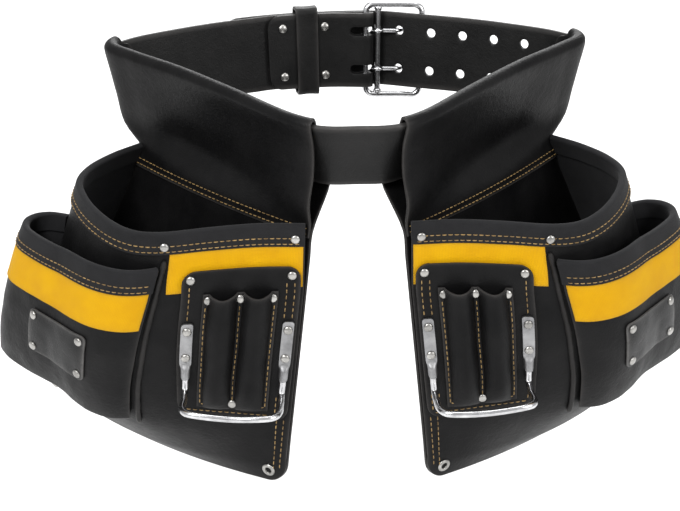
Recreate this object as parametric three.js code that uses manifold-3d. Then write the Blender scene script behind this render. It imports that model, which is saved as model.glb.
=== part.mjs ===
// Tool belt: a leather waist belt with a double-tongue roller buckle and two mirrored pouches.
// Millimetres, +Z up. The origin is the centre of the waist loop at the belt's mid-height.
// The wearer faces -Y, and the buckle is behind. +X is the right of someone who faces the wearer's front.

import * as THREE from 'three';
import { mergeVertices } from 'three/addons/utils/BufferGeometryUtils.js';
import Module from 'manifold-3d';

const wasm = await Module();
wasm.setup();

// Driving sizes of the belt
const waistHalfWidth = 172;
const waistHalfDepth = 110.5;
const beltWidth = 58;
const beltThickness = 3.5;
const leanFront = 26;
const leanBack = 10;
const clearance = 0.4;

// Driving sizes of the buckle and the belt's two ends
const wireRadius = 2.4;
const rollerRadius = 4;
const rollerLength = 54;
const frameHeight = 71;
const frameCornerRadius = 6;
const anchorAt = 19;
const tongueBarAt = 28.4;
const foldSlotStart = 7;
const foldSlotHeight = 7;
const rollerAt = 61;
const tongueRadius = 1.3;
const tongueHoleAt = 45;
const holePitch = 25;
const holeColumns = 7;
const holeDiameter = 8;
const holeRowSpacing = 30;
const billetReach = 88;
const foldReach = 58;
const strapCornerRadius = 10;
const keeperAt = -27;
const keeperWidth = 17;
const keeperThickness = 2.2;
const keeperSlack = 2.6;
const strapRivetColumns = [-46, -13];
const strapRivetSpacing = 38;
const strapRivetCapHeight = 1;

// Driving sizes of the pouches
const saddleStart = 27;
const saddleLength = 228;
const saddleThickness = 2.4;
const saddleCornerRadius = 11;
const pouchWidth = 193;
const pouchDepth = 84;
const pouchTurn = -3.1;
const pouchBack = 2.5;
const pouchOut = 12;
const tunnelDrop = 56;
const innerDrop = 263;
const outerDrop = 249;
const panelBow = 5;
const bottomBow = 4;
const panelCornerRadius = 14;
const pocketThickness = 2;
const rimDrop = 52;
const hemHeight = 15;
const hemThickness = 1.4;
const bandHeight = 32;
const bandThickness = 1;
const outerRimDrop = 82;
const outerInnerDrop = 212;
const outerFarDrop = 197;
const outerHemHeight = 17;
const outerBandHeight = 30;
const seamGap = 2;
const pipingRadius = 2;
const seamTop = 0.345;
const seamBottom = 0.41;
const seamSpread = 85;
const outerEndTop = 0.8;
const outerEndBottom = 0.84;

// Driving sizes of the fittings on each pouch
const toolPanelInset = 2.5;
const toolPanelTop = 30;
const toolPanelWidth = 82;
const toolPanelHeight = 117;
const toolPanelSlant = 8;
const toolPanelThickness = 2;
const toolPanelCorner = 9;
const slotPocketTop = 17;
const slotPocketHeight = 92;
const slotPocketWidth = 52;
const slotPocketThickness = 1.6;
const slotDepth = 12;
const slotMargin = 7.6;
const loopPlateTop = 40;
const loopPlateHeight = 44;
const loopPlateWidth = 8;
const loopPlateThickness = 2;
const loopWidth = 70;
const loopReach = 31;
const loopRodRadius = 2.5;
const loopRodDrop = 12;
const loopBend = 10;
const patchWidth = 60;
const patchHeight = 40;
const patchThickness = 1.6;
const patchTop = 58;
const patchFromEnd = 0.17;
const eyeletBore = 2.4;
const eyeletFlange = 5.2;
const eyeletAcross = 15;
const eyeletUp = 10;
const rivetCapRadius = 3.4;
const rivetCapHeight = 1.8;
const rivetShankRadius = 1.4;

// The waist loop in plan, from the front's middle round the +X side to the back's middle
const waistPlan = [
  { across: 0, forth: -1 },
  { across: 0.13, forth: -0.99 },
  { across: 0.22, forth: -0.905 },
  { across: 0.465, forth: -0.47 },
  { across: 0.71, forth: -0.045 },
  { across: 0.905, forth: 0.245 },
  { across: 0.99, forth: 0.41 },
  { across: 0.92, forth: 0.545 },
  { across: 0.72, forth: 0.72 },
  { across: 0.525, forth: 0.85 },
  { across: 0.29, forth: 0.955 },
  { across: 0, forth: 1 },
];

// The saddle's hanging panel: at each drop, its inner and outer edge in the pouch's plan
const panelSections = [
  { drop: 0, innerAlong: 0, innerOut: -0.02, outerAlong: 1, outerOut: -0.08 },
  { drop: 0.47, innerAlong: 0.04, innerOut: 0.05, outerAlong: 1.18, outerOut: 0.19 },
  { drop: 1, innerAlong: 0.1, innerOut: 0.1, outerAlong: 1.39, outerOut: 0.5 },
];

// The main pocket's wall in plan, as shares of the panel's width and of the pouch's depth
const mainWall = [
  { at: 0, along: 0, out: 0, rise: 3 },
  { at: 0.12, along: 0.12, out: 0.27, rise: 3 },
  { at: 0.24, along: 0.24, out: 0.54, rise: 0 },
  { at: 0.356, along: 0.36, out: 0.81, rise: -4 },
  { at: 0.427, along: 0.44, out: 0.96, rise: -4 },
  { at: 0.49, along: 0.53, out: 1.02, rise: -2 },
  { at: 0.58, along: 0.66, out: 1.01, rise: 1 },
  { at: 0.674, along: 0.79, out: 0.94, rise: 4 },
  { at: 0.753, along: 0.89, out: 0.82, rise: 6 },
  { at: 0.842, along: 0.96, out: 0.58, rise: 7 },
  { at: 0.925, along: 0.99, out: 0.28, rise: 8 },
  { at: 1, along: 1, out: 0, rise: 8 },
];

// The outer pocket's wall in plan, and where on the main wall each line of it lands below
const outerWall = [
  { at: 0, along: 0.37, out: 0.93, lands: 0.39 },
  { at: 0.092, along: 0.45, out: 1.05, lands: 0.45 },
  { at: 0.243, along: 0.59, out: 1.13, lands: 0.54 },
  { at: 0.4, along: 0.73, out: 1.17, lands: 0.635 },
  { at: 0.56, along: 0.87, out: 1.17, lands: 0.735 },
  { at: 0.667, along: 0.965, out: 1.14, lands: 0.79 },
  { at: 0.75, along: 1.02, out: 1.05, lands: 0.815 },
  { at: 0.82, along: 1.035, out: 0.92, lands: 0.83 },
  { at: 0.887, along: 1.01, out: 0.8, lands: 0.84 },
  { at: 1, along: 0.955, out: 0.71, lands: 0.85 },
];

// How far the pockets stand out on their way down, as a share of the pouch's depth
const depthByDrop = [
  { drop: 0, depth: 1 },
  { drop: 0.25, depth: 1.03 },
  { drop: 0.5, depth: 0.93 },
  { drop: 0.75, depth: 0.66 },
  { drop: 0.93, depth: 0.22 },
  { drop: 1, depth: 0 },
];

// The strap's way through the buckle, each as a place along the back and an offset outward
const billetRoute = [
  { place: -billetReach, out: 7.2 },
  { place: -foldReach - 12, out: 7.2 },
  { place: -foldReach, out: 7.2 },
  { place: strapRivetColumns[0] + 2, out: 7.2 },
  { place: keeperAt, out: 7.2 },
  { place: strapRivetColumns[1], out: 7.2 },
  { place: anchorAt - 10, out: 8.8 },
  { place: anchorAt + 2, out: 9.8 },
  { place: tongueBarAt, out: 9.7 },
  { place: tongueBarAt + 9, out: 7.4 },
  { place: rollerAt - 11, out: 3.4 },
  { place: rollerAt, out: 0.9 },
  { place: rollerAt + 11, out: 0 },
];

const leather = { color: 0x161616, roughness: 0.5, metalness: 0 };
const suede = { color: 0x1c1b1b, roughness: 0.95, metalness: 0 };
const webbing = { color: 0xe0ab12, roughness: 0.85, metalness: 0 };
const steel = { color: 0xb9babd, roughness: 0.3, metalness: 1 };
const nickel = { color: 0xc9c7c0, roughness: 0.25, metalness: 1 };

const part = new THREE.Group();

function addPiece(name, geometry, look) {
  const piece = new THREE.Mesh(geometry, new THREE.MeshStandardMaterial(look));
  piece.name = name;
  part.add(piece);
  return piece;
}

function mix(from, to, share) {
  return from + (to - from) * share;
}

// Smooth curve through a table's rows: one column's value where another column is x
function follow(rows, key, column, x) {
  const last = rows.length - 1;
  let k = 0;
  while (k < last - 1 && x > rows[k + 1][key]) k += 1;
  const slope = (i) => {
    const before = rows[Math.max(i - 1, 0)];
    const after = rows[Math.min(i + 1, last)];
    return (after[column] - before[column]) / (after[key] - before[key]);
  };
  const span = rows[k + 1][key] - rows[k][key];
  const s = (x - rows[k][key]) / span;
  const rise = rows[k + 1][column] - rows[k][column];
  const startSlope = slope(k) * span;
  const endSlope = slope(k + 1) * span;
  const bend = 3 * rise - 2 * startSlope - endSlope;
  const turn = startSlope + endSlope - 2 * rise;
  return rows[k][column] + s * (startSlope + s * (bend + s * turn));
}

// Closed mesh between two lattices of points, one for each face of a sheet
function slab(low, high) {
  const columns = low.length;
  const rows = low[0].length;
  const points = [];
  for (const face of [low, high]) {
    for (const column of face) points.push(...column);
  }
  const corner = (face, i, j) => face * columns * rows + i * rows + j;
  const triangles = [];
  const quad = (a, b, c, d) => triangles.push(a, b, c, a, c, d);
  for (let i = 0; i < columns - 1; i += 1) {
    for (let j = 0; j < rows - 1; j += 1) {
      quad(corner(1, i, j), corner(1, i + 1, j), corner(1, i + 1, j + 1), corner(1, i, j + 1));
      quad(corner(0, i, j), corner(0, i, j + 1), corner(0, i + 1, j + 1), corner(0, i + 1, j));
    }
    quad(corner(0, i, 0), corner(0, i + 1, 0), corner(1, i + 1, 0), corner(1, i, 0));
    quad(corner(0, i, rows - 1), corner(1, i, rows - 1), corner(1, i + 1, rows - 1), corner(0, i + 1, rows - 1));
  }
  for (let j = 0; j < rows - 1; j += 1) {
    quad(corner(0, 0, j), corner(1, 0, j), corner(1, 0, j + 1), corner(0, 0, j + 1));
    const end = columns - 1;
    quad(corner(0, end, j), corner(0, end, j + 1), corner(1, end, j + 1), corner(1, end, j));
  }
  return closedGeometry(points, triangles);
}

// Geometry from points and triangles, turned so that its faces point out
function closedGeometry(points, triangles) {
  let volume = 0;
  const product = new THREE.Vector3();
  for (let k = 0; k < triangles.length; k += 3) {
    product.crossVectors(points[triangles[k + 1]], points[triangles[k + 2]]);
    volume += points[triangles[k]].dot(product);
  }
  const facing = volume > 0 ? triangles : triangles.slice().reverse();
  const geometry = new THREE.BufferGeometry().setFromPoints(points);
  geometry.setIndex(facing);
  geometry.computeVertexNormals();
  return geometry;
}

// Unit normals of a lattice of points, by the differences between neighbours
function latticeNormals(lattice) {
  const columns = lattice.length;
  const rows = lattice[0].length;
  return lattice.map((column, i) => column.map((point, j) => {
    const left = lattice[Math.max(i - 1, 0)][j];
    const right = lattice[Math.min(i + 1, columns - 1)][j];
    const above = column[Math.max(j - 1, 0)];
    const below = column[Math.min(j + 1, rows - 1)];
    const across = right.clone().sub(left);
    const down = below.clone().sub(above);
    return down.cross(across).normalize();
  }));
}

// Sheet of one thickness about a lattice of mid-surface points
function shell(lattice, thickness) {
  const normals = latticeNormals(lattice);
  const face = (side) => lattice.map((column, i) => column.map((point, j) => {
    return point.clone().addScaledVector(normals[i][j], side * thickness / 2);
  }));
  return slab(face(-1), face(1));
}

// Lattice surface that other sheets can lie on: any place on it, lifted by any height
function latticeSurface(columns, rows, place) {
  const points = columns.map((column) => rows.map((row) => place(column, row)));
  const normals = latticeNormals(points);
  const cell = (lines, x) => {
    let k = 0;
    while (k < lines.length - 2 && x > lines[k + 1]) k += 1;
    return { k, share: (x - lines[k]) / (lines[k + 1] - lines[k]) };
  };
  const at = (column, row, lift) => {
    const c = cell(columns, column);
    const r = cell(rows, row);
    const result = new THREE.Vector3();
    for (const [i, weightAcross] of [[c.k, 1 - c.share], [c.k + 1, c.share]]) {
      for (const [j, weightDown] of [[r.k, 1 - r.share], [r.k + 1, r.share]]) {
        result.addScaledVector(points[i][j], weightAcross * weightDown);
        result.addScaledVector(normals[i][j], weightAcross * weightDown * lift);
      }
    }
    return result;
  };
  const normal = (column, row) => at(column, row, 1).sub(at(column, row, 0)).normalize();
  return { columns, rows, at, normal };
}

function linesBetween(lines, from, to) {
  const nearest = (to - from) / 1000;
  return [from, ...lines.filter((line) => line > from + nearest && line < to - nearest), to];
}

// Sheet that lies on a lattice surface between two lifts
function overlay(surface, columns, rows, low, high) {
  const face = (lift) => columns.map((column) => rows.map((row) => surface.at(column, row, lift)));
  return slab(face(low), face(high));
}

// Round bar along points, with flat ends or closed to a ring
function roundBar(points, radius, sides, ring = false) {
  const count = points.length;
  const neighbour = (k) => (ring ? points[(k + count) % count] : points[THREE.MathUtils.clamp(k, 0, count - 1)]);
  const tangents = points.map((point, k) => neighbour(k + 1).clone().sub(neighbour(k - 1)).normalize());
  const reference = Math.abs(tangents[0].z) < 0.9 ? new THREE.Vector3(0, 0, 1) : new THREE.Vector3(1, 0, 0);
  const first = new THREE.Vector3().crossVectors(tangents[0], reference).normalize();
  const carried = first.clone();
  const vertices = [];
  points.forEach((point, k) => {
    carried.addScaledVector(tangents[k], -carried.dot(tangents[k])).normalize();
    const other = new THREE.Vector3().crossVectors(tangents[k], carried);
    for (let side = 0; side < sides; side += 1) {
      const angle = 2 * Math.PI * side / sides;
      const vertex = point.clone().addScaledVector(carried, radius * Math.cos(angle));
      vertices.push(vertex.addScaledVector(other, radius * Math.sin(angle)));
    }
  });
  const triangles = [];
  const stretches = ring ? count : count - 1;
  for (let k = 0; k < stretches; k += 1) {
    const here = k * sides;
    const next = ((k + 1) % count) * sides;
    for (let side = 0; side < sides; side += 1) {
      const beside = (side + 1) % sides;
      triangles.push(here + side, here + beside, next + beside);
      triangles.push(here + side, next + beside, next + side);
    }
  }
  if (!ring) {
    const end = (count - 1) * sides;
    for (let side = 1; side < sides - 1; side += 1) {
      triangles.push(0, side + 1, side);
      triangles.push(end, end + side, end + side + 1);
    }
  }
  return closedGeometry(vertices, triangles);
}

function toSolid(geometry) {
  const bare = geometry.clone();
  bare.deleteAttribute('normal');
  bare.deleteAttribute('uv');
  const merged = mergeVertices(bare, 1e-5);
  const vertProperties = new Float32Array(merged.attributes.position.array);
  const triVerts = new Uint32Array(merged.index.array);
  return new wasm.Manifold(new wasm.Mesh({ numProp: 3, vertProperties, triVerts }));
}

function fromSolid(solid) {
  const mesh = solid.getMesh();
  const geometry = new THREE.BufferGeometry();
  geometry.setAttribute('position', new THREE.BufferAttribute(new Float32Array(mesh.vertProperties), 3));
  geometry.setIndex(new THREE.BufferAttribute(new Uint32Array(mesh.triVerts), 1));
  geometry.computeVertexNormals();
  return geometry;
}

function joined(geometries) {
  const solids = geometries.map(toSolid);
  return fromSolid(solids.reduce((whole, next) => whole.add(next)));
}

function cut(geometry, cutters) {
  return fromSolid(cutters.reduce((whole, cutter) => whole.subtract(toSolid(cutter)), toSolid(geometry)));
}

// Drill through a point along an axis, as a cutter for holes
function drill(point, axis, radius, reach, sides = 6) {
  const ends = [point.clone().addScaledVector(axis, -reach), point.clone().addScaledVector(axis, reach)];
  return roundBar(ends, radius, sides);
}

// The waist loop: a place by arc length from the front's middle, an offset outward, a height on the strap
const planPoint = (row) => new THREE.Vector3(waistHalfWidth * row.across, waistHalfDepth * row.forth, 0);
const farSide = waistPlan.slice(1, -1).reverse();
const waistPoints = [
  ...waistPlan.map(planPoint),
  ...farSide.map((row) => planPoint(row).multiply(new THREE.Vector3(-1, 1, 1))),
];
const waistCurve = new THREE.CatmullRomCurve3(waistPoints, true, 'centripetal');
waistCurve.arcLengthDivisions = 3000;
const waistLength = waistCurve.getLength();

function beltPoint(arc, out, height) {
  const share = THREE.MathUtils.euclideanModulo(arc / waistLength, 1);
  const point = waistCurve.getPointAt(share);
  const tangent = waistCurve.getTangentAt(share);
  const outward = new THREE.Vector3(tangent.y, -tangent.x, 0);
  const frontness = (1 - point.y / waistHalfDepth) / 2;
  const lean = THREE.MathUtils.degToRad(mix(leanBack, leanFront, frontness ** 1.5));
  point.addScaledVector(outward, height * Math.sin(lean) + out * Math.cos(lean));
  point.z = height * Math.cos(lean) - out * Math.sin(lean);
  return point;
}

// The same at the back, by a place along +X from the back's middle
function backPoint(place, out, height) {
  return beltPoint(waistLength / 2 - place, out, height);
}

// Strap, with its stations inside the tunnels where the saddles have their columns
const saddleColumns = [0, 0.04, 0.1, 0.2, 0.32, 0.45, 0.58, 0.7, 0.8, 0.87, 0.93, 0.97, 1];
const plyOffset = beltThickness / 2 + 0.2;
const foldRadius = wireRadius + clearance + beltThickness / 2;

function strapRoute() {
  const route = billetRoute.map((row) => ({ arc: waistLength / 2 - row.place, out: row.out }));
  const from = waistLength / 2 - rollerAt - 11;
  const to = foldReach + 12 - waistLength / 2;
  const sideArcs = saddleColumns.map((along) => saddleStart + along * saddleLength);
  const saddleEnd = saddleStart + saddleLength;
  const rearSteps = [0.25, 0.5, 0.75];
  const arcs = rearSteps.map((share) => mix(from, saddleEnd, share));
  arcs.push(...sideArcs.slice().reverse(), saddleStart / 2, 0, -saddleStart / 2);
  arcs.push(...sideArcs.map((arc) => -arc));
  arcs.push(...rearSteps.map((share) => mix(-saddleEnd, to, share)));
  for (const arc of arcs) route.push({ arc, out: 0 });
  const plyPlaces = [-foldReach + strapCornerRadius, ...strapRivetColumns.slice(1), -8];
  plyPlaces.splice(1, 0, (plyPlaces[0] + plyPlaces[1]) / 2);
  const fold = (place, out) => route.push({ arc: -waistLength / 2 - place, out });
  fold(-foldReach - 12, 0);
  fold(-foldReach, plyOffset);
  for (const place of plyPlaces) fold(place, plyOffset);
  fold(anchorAt - 9, foldRadius * 0.85);
  const turns = 6;
  for (let k = 0; k <= turns; k += 1) {
    const angle = Math.PI * k / turns;
    fold(anchorAt + foldRadius * Math.sin(angle), foldRadius * Math.cos(angle));
  }
  fold(anchorAt - 9, -foldRadius * 0.85);
  for (const place of plyPlaces.slice().reverse()) fold(place, -plyOffset);
  fold(-foldReach + strapCornerRadius * 0.3, -plyOffset);
  fold(-foldReach, -plyOffset);
  return route;
}

function strapGeometry() {
  const route = strapRoute();
  const last = route.length - 1;
  const lengthTo = (k, end) => Math.abs(route[k].arc - route[end].arc);
  const rounded = (distance) => {
    const inside = Math.max(strapCornerRadius - distance, 0);
    return strapCornerRadius - Math.sqrt(strapCornerRadius ** 2 - inside ** 2);
  };
  const faces = [-1, 1].map((side) => route.map((spot, k) => {
    const before = route[Math.max(k - 1, 0)];
    const after = route[Math.min(k + 1, last)];
    const alongArc = after.arc - before.arc;
    const alongOut = after.out - before.out;
    const length = Math.hypot(alongArc, alongOut);
    const arc = spot.arc - side * beltThickness / 2 * alongOut / length;
    const out = spot.out + side * beltThickness / 2 * alongArc / length;
    const trim = k > last - 3 ? rounded(lengthTo(k, last)) : 0;
    const half = beltWidth / 2 - trim;
    return [-half, half].map((height) => beltPoint(arc, out, height));
  }));
  return slab(faces[0], faces[1]);
}

function backAxis(place) {
  return backPoint(place, 1, 0).sub(backPoint(place, 0, 0)).normalize();
}

function strapCutters() {
  const cutters = [];
  for (let column = -1; column < holeColumns - 1; column += 1) {
    const place = tongueHoleAt + column * holePitch;
    const out = place < rollerAt + 11 ? follow(billetRoute, 'place', 'out', place) : 0;
    const reach = beltThickness / 2 + 1;
    for (const row of [-1, 1]) {
      const centre = backPoint(place, out, row * holeRowSpacing / 2);
      cutters.push(drill(centre, backAxis(place), holeDiameter / 2, reach, 8));
    }
  }
  for (const place of strapRivetColumns) {
    for (const row of [-1, 1]) {
      const centre = backPoint(place, 0, row * strapRivetSpacing / 2);
      cutters.push(drill(centre, backAxis(place), rivetShankRadius + clearance, 2 * beltThickness - 2));
    }
  }
  const slotPlaces = [foldSlotStart, (foldSlotStart + anchorAt) / 2, anchorAt, tongueBarAt];
  const slotReach = foldRadius + beltThickness / 2 + clearance;
  for (const row of [-1, 1]) {
    const edges = [-1, 1].map((side) => (row * holeRowSpacing + side * foldSlotHeight) / 2);
    const face = (out) => slotPlaces.map((place) => edges.map((height) => backPoint(place, out, height)));
    cutters.push(slab(face(-slotReach), face(slotReach)));
  }
  return cutters;
}

addPiece('belt_strap', cut(strapGeometry(), strapCutters()), leather);

// Keeper: a leather loop round the doubled strap and the billet
function keeperGeometry() {
  const inner = plyOffset + beltThickness / 2 + clearance;
  const outer = billetRoute[4].out + beltThickness / 2 + clearance;
  const half = beltWidth / 2 + clearance + keeperSlack;
  const wall = keeperThickness;
  const section = (grow) => [
    [-inner - grow, -half - grow],
    [outer + grow, -half - grow],
    [outer + grow, half + grow],
    [-inner - grow, half + grow],
  ];
  const places = [keeperAt - keeperWidth / 2, keeperAt, keeperAt + keeperWidth / 2];
  const inside = section(0);
  const outside = section(wall);
  const block = (frame) => slab(
    places.map((place) => [frame[0], frame[3]].map(([out, height]) => backPoint(place, out, height))),
    places.map((place) => [frame[1], frame[2]].map(([out, height]) => backPoint(place, out, height))),
  );
  const longer = places.map((place, k) => place + (k - 1));
  const bore = slab(
    longer.map((place) => [inside[0], inside[3]].map(([out, height]) => backPoint(place, out, height))),
    longer.map((place) => [inside[1], inside[2]].map(([out, height]) => backPoint(place, out, height))),
  );
  return cut(block(outside), [bore]);
}

addPiece('belt_keeper', keeperGeometry(), leather);

// Buckle: a wire frame with an anchor bar, a tongue bar and a roller bar
const rollerOut = billetRoute[11].out + beltThickness / 2 + clearance + rollerRadius;
const frameOut = (place) => rollerOut * (place - anchorAt) / (rollerAt - anchorAt);

function frameGeometry() {
  const half = frameHeight / 2;
  const radius = frameCornerRadius;
  const corners = [
    [rollerAt - radius, half - radius, 0],
    [anchorAt + radius, half - radius, 90],
    [anchorAt + radius, -half + radius, 180],
    [rollerAt - radius, -half + radius, 270],
  ];
  const path = [];
  for (const [place, height, start] of corners) {
    for (const turn of [0, 30, 60, 90]) {
      const angle = THREE.MathUtils.degToRad(start + turn);
      const across = place + radius * Math.cos(angle);
      path.push(backPoint(across, frameOut(across), height + radius * Math.sin(angle)));
    }
  }
  const barEnds = [-half, half].map((height) => backPoint(tongueBarAt, frameOut(tongueBarAt), height));
  return joined([roundBar(path, wireRadius, 8, true), roundBar(barEnds, wireRadius * 0.9, 8)]);
}

addPiece('buckle_frame', frameGeometry(), steel);

function rollerGeometry() {
  const ends = (reach) => [-reach, reach].map((height) => backPoint(rollerAt, rollerOut, height));
  const tube = roundBar(ends(rollerLength / 2), rollerRadius, 12);
  const bore = roundBar(ends(rollerLength / 2 + 1), wireRadius + clearance, 12);
  return cut(tube, [bore]);
}

addPiece('buckle_roller', rollerGeometry(), steel);

function tongueGeometry(height) {
  const eyeRadius = wireRadius * 0.9 + clearance + tongueRadius;
  const eye = [];
  const eyeSteps = 10;
  const eyeOut = frameOut(tongueBarAt);
  for (let k = 0; k < eyeSteps; k += 1) {
    const angle = 2 * Math.PI * k / eyeSteps;
    const place = tongueBarAt + eyeRadius * Math.cos(angle);
    eye.push(backPoint(place, eyeOut + eyeRadius * Math.sin(angle), height));
  }
  const rest = rollerOut + rollerRadius + clearance + tongueRadius;
  const billetOut = follow(billetRoute, 'place', 'out', tongueHoleAt);
  const shank = [
    backPoint(tongueBarAt + eyeRadius, eyeOut - 0.6, height),
    backPoint(mix(tongueBarAt + eyeRadius, tongueHoleAt, 0.8), mix(eyeOut, billetOut, 0.3), height),
    backPoint(tongueHoleAt, billetOut, height),
    backPoint(mix(tongueHoleAt, rollerAt, 0.2), mix(billetOut, rest, 0.45), height),
    backPoint(rollerAt - 4, rest, height),
    backPoint(rollerAt + 4, rest - 0.4, height),
  ];
  return joined([roundBar(eye, tongueRadius, 6, true), roundBar(shank, tongueRadius, 6)]);
}

addPiece('buckle_tongue_upper', tongueGeometry(holeRowSpacing / 2), steel);
addPiece('buckle_tongue_lower', tongueGeometry(-holeRowSpacing / 2), steel);

// Cap rivet along +Z: cap above z = 0, shank below, and a flat back where the layers end
function rivetGeometry(grip, backRadius) {
  const profile = [
    [0, -grip - strapRivetCapHeight],
    [backRadius, -grip - strapRivetCapHeight],
    [backRadius, -grip],
    [rivetShankRadius, -grip],
    [rivetShankRadius, 0],
    [rivetCapRadius, 0],
    [rivetCapRadius * 0.75, rivetCapHeight * 0.7],
    [0, rivetCapHeight],
  ];
  const plain = backRadius > rivetShankRadius ? profile : [[0, -grip], ...profile.slice(3)];
  const points = plain.map(([radius, height]) => new THREE.Vector2(radius, height));
  const turned = new THREE.LatheGeometry(points, 8);
  turned.rotateX(Math.PI / 2);
  const bare = turned.deleteAttribute('uv').deleteAttribute('normal');
  const merged = mergeVertices(bare, 1e-4);
  return fromSolid(toSolid(merged));
}

function addRivet(name, seat, axis, grip, backRadius = rivetShankRadius) {
  const rivet = addPiece(name, rivetGeometry(grip, backRadius), nickel);
  rivet.position.copy(seat);
  rivet.quaternion.setFromUnitVectors(new THREE.Vector3(0, 0, 1), axis);
}

let strapRivetNumber = 0;
for (const place of strapRivetColumns) {
  for (const row of [1, -1]) {
    strapRivetNumber += 1;
    const face = plyOffset + beltThickness / 2 + 0.35;
    const seat = backPoint(place, -face, row * strapRivetSpacing / 2);
    const axis = backAxis(place).negate();
    addRivet(`belt_rivet_${strapRivetNumber}`, seat, axis, 2 * face, rivetShankRadius * 2);
  }
}

// A pouch's plan: its own along and out directions, set from where its saddle sits on the belt
const saddleInner = beltPoint(saddleStart, 0, 0);
const saddleOuter = beltPoint(saddleStart + saddleLength, 0, 0);
const pouchAngle = Math.atan2(saddleOuter.y - saddleInner.y, saddleOuter.x - saddleInner.x);
const turnedAngle = pouchAngle + THREE.MathUtils.degToRad(pouchTurn);
const pouchAlong = new THREE.Vector3(Math.cos(turnedAngle), Math.sin(turnedAngle), 0);
const pouchOutward = new THREE.Vector3(Math.sin(turnedAngle), -Math.cos(turnedAngle), 0);
const pouchCorner = saddleInner.clone().setZ(0);
pouchCorner.addScaledVector(pouchAlong, -pouchBack).addScaledVector(pouchOutward, pouchOut);

// Place on or off the hanging panel: a share along its width, a distance outward, a drop below the belt
function pouchPoint(along, out, drop) {
  const share = (drop - tunnelDrop) / (innerDrop - tunnelDrop);
  const column = (name) => follow(panelSections, 'drop', name, share);
  const plan = (alongShare, outShare) => pouchCorner.clone()
    .addScaledVector(pouchAlong, alongShare * pouchWidth)
    .addScaledVector(pouchOutward, outShare * pouchDepth);
  const inner = plan(column('innerAlong'), column('innerOut'));
  const outer = plan(column('outerAlong'), column('outerOut'));
  const chord = outer.sub(inner);
  const outward = new THREE.Vector3(chord.y, -chord.x, 0).normalize();
  const bow = panelBow * 4 * along * (1 - along);
  const point = inner.addScaledVector(chord, along).addScaledVector(outward, out + bow);
  return point.setZ(-drop);
}

// The bottom edge: a slanted, slightly bowed line, less what the rounded corners take off
function bottomLine(along) {
  return mix(innerDrop, outerDrop, along ** 2.5) + bottomBow * 4 * along * (1 - along);
}

function cornerLoss(along) {
  const width = pouchWidth * (panelSections[2].outerAlong - panelSections[2].innerAlong);
  const nearest = Math.min(along, 1 - along) * width;
  const inside = THREE.MathUtils.clamp(panelCornerRadius - nearest, 0, panelCornerRadius);
  return panelCornerRadius - Math.sqrt(panelCornerRadius ** 2 - inside ** 2);
}

// Drop at a share of the way from a start down to the bottom edge
function hangingDrop(along, start, share) {
  const nearBottom = Math.max((share - 0.84) / 0.16, 0);
  return mix(start, bottomLine(along), share) - cornerLoss(along) * nearBottom;
}

// Saddle: one sheet up behind the belt, over its top edge and down in front to the tunnel's seam
function saddleLattice() {
  const offset = beltThickness / 2 + 4 * clearance + saddleThickness / 2;
  const top = beltWidth / 2;
  const seamLift = saddleThickness + clearance;
  const regular = saddleColumns[saddleColumns.length - 3];
  return saddleColumns.map((along) => {
    const trim = (height) => {
      const inside = THREE.MathUtils.clamp(height - top + saddleCornerRadius, 0, saddleCornerRadius);
      return saddleCornerRadius - Math.sqrt(saddleCornerRadius ** 2 - inside ** 2);
    };
    const arc = (height) => {
      const beyond = Math.max(along - regular, 0) / (1 - regular);
      return saddleStart + along * saddleLength - beyond * trim(height);
    };
    const column = [];
    for (const share of [1, 0.95, 0.84, 0.6, 0.35, 0.1, 0]) {
      column.push(pouchPoint(along, 0, hangingDrop(along, tunnelDrop, share)));
    }
    for (const height of [-1.18, -1, 0.9]) {
      column.push(beltPoint(arc(height * top), -offset, height * top));
    }
    for (const angle of [0, 60, 120, 180]) {
      const turn = THREE.MathUtils.degToRad(angle);
      const lift = top + offset * Math.sin(turn);
      column.push(beltPoint(arc(top), -offset * Math.cos(turn), lift));
    }
    const crest = beltPoint(arc(top), offset, top);
    const hem = pouchPoint(along, seamLift, tunnelDrop + 4);
    const looseness = Math.max(1 - along / 0.65, 0);
    for (const share of [0.3, 0.65, 1.03]) {
      const height = top - share * beltWidth;
      const against = beltPoint(arc(height), offset, height);
      const straight = crest.clone().lerp(hem, share * beltWidth / (top + tunnelDrop));
      column.push(against.lerp(straight, share * looseness));
    }
    column.push(pouchPoint(along, seamLift, tunnelDrop - 6));
    column.push(hem);
    return column;
  });
}

// Main pocket's wall as a lattice surface: columns run along the wall, rows run down from the rim
const mainColumns = mainWall.map((row) => row.at);
const mainHeight = innerDrop - rimDrop;
const mainLength = pouchWidth * 1.47;
const mainRows = [0, hemHeight / mainHeight, 0.16, 0.24, 0.4, 0.55, 0.7, 0.84, 0.95, 1];

function mainPlace(at, row) {
  const along = follow(mainWall, 'at', 'along', at);
  const stand = follow(mainWall, 'at', 'out', at);
  const rim = rimDrop - follow(mainWall, 'at', 'rise', at);
  const drop = hangingDrop(THREE.MathUtils.clamp(along, 0, 1), rim, row);
  const fullness = follow(depthByDrop, 'drop', 'depth', row);
  const depth = pouchDepth * fullness;
  const closing = THREE.MathUtils.smoothstep(at, mainWall[10].at, 1);
  const flapShare = Math.max(1 - row / mix(0.24, 0.16, closing), 0);
  const flat = 1 - closing * Math.min(fullness, 1);
  const layers = (saddleThickness + flat * pocketThickness) / 2 + clearance;
  const lift = layers + flapShare * (saddleThickness + hemThickness + 3 * clearance);
  return pouchPoint(along, lift + depth * stand, drop);
}

const mainSurface = latticeSurface(mainColumns, mainRows, mainPlace);

// Row of the main wall that lies at a drop
function mainRowAt(at, drop) {
  const rim = rimDrop - follow(mainWall, 'at', 'rise', at);
  return (drop - rim) / (bottomLine(follow(mainWall, 'at', 'along', at)) - rim);
}

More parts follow.
